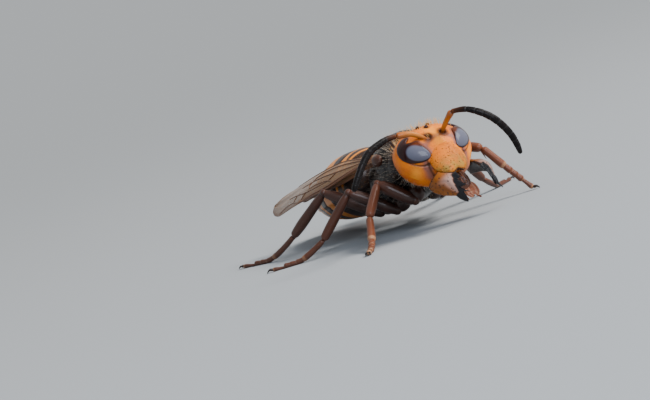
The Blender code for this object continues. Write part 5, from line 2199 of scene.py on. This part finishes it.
class Furrier:
    """Grows the coats."""

    HAIR_RADIUS = 0.020
    HAIR_BEND = 0.16
    HAIR_RINGS = ((0.0, 1.0), (0.45, 0.8), (0.8, 0.45))
    PATCH = 0.003

    def __init__(self, workshop: Workshop, tree: FurTree) -> None:
        """Keeps the tools and makes no hair yet."""
        self.workshop = workshop
        self.tree = tree

    def _hair(self, thick: float) -> bpy.types.Object:
        """Makes one tapered, slightly bent hair a metre's thousandth long.

        Args:
            thick: Its thickness, where 1 is usual.

        Returns:
            The hair, with its own patch values painted on.
        """
        rows: Rows = []
        for height, width in self.HAIR_RINGS:
            ring = []
            for across, turn in circle(3):
                radius = self.HAIR_RADIUS * thick * width
                bend = self.HAIR_BEND * height ** 2
                place = Vector((radius * math.cos(turn) + bend, radius * math.sin(turn), height))
                ring.append((place, {"patch_u": across, "patch_v": height}))
            rows.append(ring)
        rows.append([(Vector((self.HAIR_BEND, 0.0, 1.0)), {"patch_u": 0.5, "patch_v": 1.0})])
        return into_scene("hair", Shape().add_rows(rows).mesh("hair", Matrix()))

    def _map(self, data: bpy.types.Mesh) -> None:
        """Lays each hair as a small patch at its root's place on the skin's unwrap.

        Args:
            data: The coat's mesh.
        """
        columns = []
        for key in ("across", "along", "patch_u", "patch_v"):
            column = [0.0] * len(data.vertices)
            layer = data.attributes.get(key)
            if layer is not None:
                layer.data.foreach_get("value", column)
            columns.append(column)
        places = [
            (across + self.PATCH * (u - 0.5), along + self.PATCH * (v - 0.5))
            for across, along, u, v in zip(*columns)
        ]
        layer = data.uv_layers.new(name="OFBake")
        layer.data.foreach_set("uv", [part for loop in data.loops for part in places[loop.vertex_index]])

    def grow(self, coat: Coat, skin: bpy.types.Object) -> None:
        """Grows one coat on a skin.

        Args:
            coat: What to grow.
            skin: The piece that it grows on.
        """
        hair = self._hair(coat.thick)
        data = self.tree.run(skin, coat.name, {
            "Hairs per area": coat.per_mm2 / MM ** 2, "Stand": coat.stand, "Length": coat.length,
            "Length spread": coat.spread, "Density name": coat.density, "Seed": coat.seed,
            "Lie": coat.lie, "Hair": hair, "Material": self.workshop.palette.material(coat.finish),
        })
        bpy.data.objects.remove(hair)
        self._map(data)
        self.workshop.piece(coat.name, data, coat.finish)


COATS = (
    Coat("head_crown_hair", "head", "golden_hair", 5.0, 1.0, 0.3, 1.8, (0.0, 0.6, 0.5), 11, 1.1),
    Coat("head_nape_hair", "head", "silver_hair", 8.0, 0.7, 0.3, 0.9, (0.0, 0.6, -0.6), 12, 0.8, "beard"),
    Coat("clypeus_hair", "shield", "golden_hair", 30.0, 0.34, 0.14, 0.5, (0.1, -0.2, -1.0), 13, 0.7),
    Coat("mouth_hair", "mouth", "brown_hair", 22.0, 0.5, 0.2, 0.5, (0.1, -0.3, -1.0), 14),
    Coat("thorax_hair", "thorax", "silver_hair", 2.8, 0.95, 0.35, 1.2, (0.0, 1.0, -0.1), 21, 0.7),
    Coat("thorax_down", "thorax", "brown_hair", 3.0, 0.45, 0.2, 0.6, (0.0, 1.0, -0.2), 22, 0.7),
    *(
        Coat(f"abdomen_{ring}_down", f"abdomen_{ring}_skin", "golden_hair", 7.0, 0.30, 0.12, 0.25,
             (0.0, 1.0, -0.2), 30 + ring, 0.7)
        for ring in range(1, 7)
    ),
    *(
        Coat(f"leg_{pair.word}_{side.word}_bristles", f"leg_{pair.word}_{side.word}_skin", "brown_hair",
             7.0, 0.34, 0.14, 0.5, (0.0, -0.3, -1.0), 40 + 2 * row + column, 0.8)
        for row, pair in enumerate(Pair) for column, side in enumerate(Side)
    ),
    *(
        Coat(f"antenna_{side.word}_down", f"antenna_{side.word}_scape_skin", "golden_hair",
             10.0, 0.22, 0.08, 0.4, (0.0, -1.0, 0.0), 50 + column, 0.6)
        for column, side in enumerate(Side)
    ),
)


@dataclass(frozen=True)
class Softbox:
    """Square soft light: where it stands as the camera sees it, its size and its power in watts."""

    name: str
    direction: Triple
    away: float
    size: float
    power: float
    colour: Colour


@dataclass
class Studio:
    """Pale floor, soft lights and the camera at the photograph's angle."""

    azimuth: float = math.radians(-23.476)
    elevation: float = math.radians(4.999)
    roll: float = math.radians(-18.34)
    target: Triple = (-15.378, -9.464, 8.527)
    distance: float = 300.0
    lens: float = 117.8
    floor_half: float = 20.0
    aim: Triple = (0.0, -14.0, 9.0)
    sky_colour: Colour = (0.93, 0.97, 1.0)
    sky_strength: float = 0.52
    key_direction: Triple = (0.55, 1.0, 0.3)
    key_colour: Colour = (1.0, 0.95, 0.88)
    key_strength: float = 6.2
    key_angle: float = math.radians(24.0)
    softboxes: tuple[Softbox, ...] = (
        Softbox("sky_window", (0.05, 0.45, 0.9), 0.42, 0.22, 1.1, (0.78, 0.87, 1.0)),
        Softbox("overhead", (0.5, 1.0, 0.1), 0.40, 0.20, 0.9, (1.0, 0.97, 0.92)),
    )

    def _camera_frame(self) -> Matrix:
        """Turns the camera round its target, raises it and rolls it.

        Returns:
            The camera's frame.
        """
        turn = Matrix.Rotation(self.azimuth, 4, "Z") @ Matrix.Rotation(math.pi / 2 - self.elevation, 4, "X")
        rolled = turn @ Matrix.Rotation(self.roll, 4, "Z")
        back = rolled.to_3x3() @ Vector((0.0, 0.0, self.distance * MM))
        return Matrix.Translation(Vector(self.target) * MM + back) @ rolled

    def _towards(self, direction: Triple) -> Vector:
        """Direction in the scene of one given as right, up and back for the camera."""
        return (self._camera_frame().to_3x3() @ Vector(direction)).normalized()

    def _light(self, name: str, kind: str, power: float, colour: Colour, direction: Triple,
               away: float) -> bpy.types.Object:
        """Stands a light off the hornet and turns it to look at the head.

        Args:
            name: The light's name.
            kind: The light's type.
            power: Its strength, in the units of its type.
            colour: Its colour.
            direction: Right, up and back as the camera sees them.
            away: Its distance in metres.

        Returns:
            The light's object.
        """
        data = bpy.data.lights.new(name, kind)
        data.energy = power
        data.color = colour
        made = into_scene(name, data)
        out = self._towards(direction)
        made.location = out * away + Vector(self.aim) * MM
        made.rotation_euler = out.to_track_quat("Z", "Y").to_euler()
        return made

    def _lights(self) -> None:
        """Adds the key light, even over the whole floor, and the softboxes."""
        key = self._light("key", "SUN", self.key_strength, self.key_colour, self.key_direction, 1.0)
        key.data.angle = self.key_angle
        key.visible_glossy = False
        for box in self.softboxes:
            self._light(box.name, "AREA", box.power, box.colour, box.direction, box.away).data.size = box.size

    def _floor(self) -> None:
        """Adds the floor, as bright under the key light as the sky, so that they meet without a line."""
        shape = bmesh.new()
        bmesh.ops.create_grid(shape, x_segments=1, y_segments=1, size=self.floor_half)
        floor_mesh = bpy.data.meshes.new("floor")
        shape.to_mesh(floor_mesh)
        shape.free()
        floor = into_scene("floor", floor_mesh)
        raised = self._towards(self.key_direction).z
        key = [self.key_strength * raised / math.pi * part for part in self.key_colour]
        sky = [self.sky_strength * part for part in self.sky_colour]
        paint = Recipe("floor_paint")
        paint.feed({
            "Base Color": tuple(own / (own + added) for own, added in zip(sky, key)),
            "Roughness": 1.0, "Specular IOR Level": 0.0,
        })
        floor_mesh.materials.append(paint.material)

    def build(self) -> None:
        """Adds the camera, the floor, the sky and the lights."""
        data = bpy.data.cameras.new("camera")
        data.sensor_width = 36.0
        data.lens = self.lens
        data.clip_start = 0.005
        data.clip_end = 60.0
        camera = into_scene("camera", data)
        camera.matrix_world = self._camera_frame()
        bpy.context.scene.camera = camera
        self._floor()
        world = bpy.data.worlds.new("sky")
        bpy.context.scene.world = world
        world.use_nodes = True
        sky = world.node_tree.nodes["Background"]
        sky.inputs["Color"].default_value = (*self.sky_colour, 1.0)
        sky.inputs["Strength"].default_value = self.sky_strength
        self._lights()


def main() -> None:
    """Builds every piece in order."""
    logging.basicConfig(level=logging.INFO, format="%(name)s %(message)s")
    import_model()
    workshop = Workshop(Palette())
    Studio().build()
    skins: Skins = {}
    for form in (HeadForm(), JawForm(), MouthForm(), FeelerForm(), ThoraxForm(), AbdomenForm(), LegForm()):
        skins.update(form.dress(workshop))
    WingForm().dress(workshop, VeinTree())
    furrier = Furrier(workshop, FurTree())
    for coat in COATS:
        furrier.grow(coat, skins[coat.skin])
    bpy.context.view_layer.update()
    LOG.info("all pieces are in place")


if __name__ == "__main__":
    main()
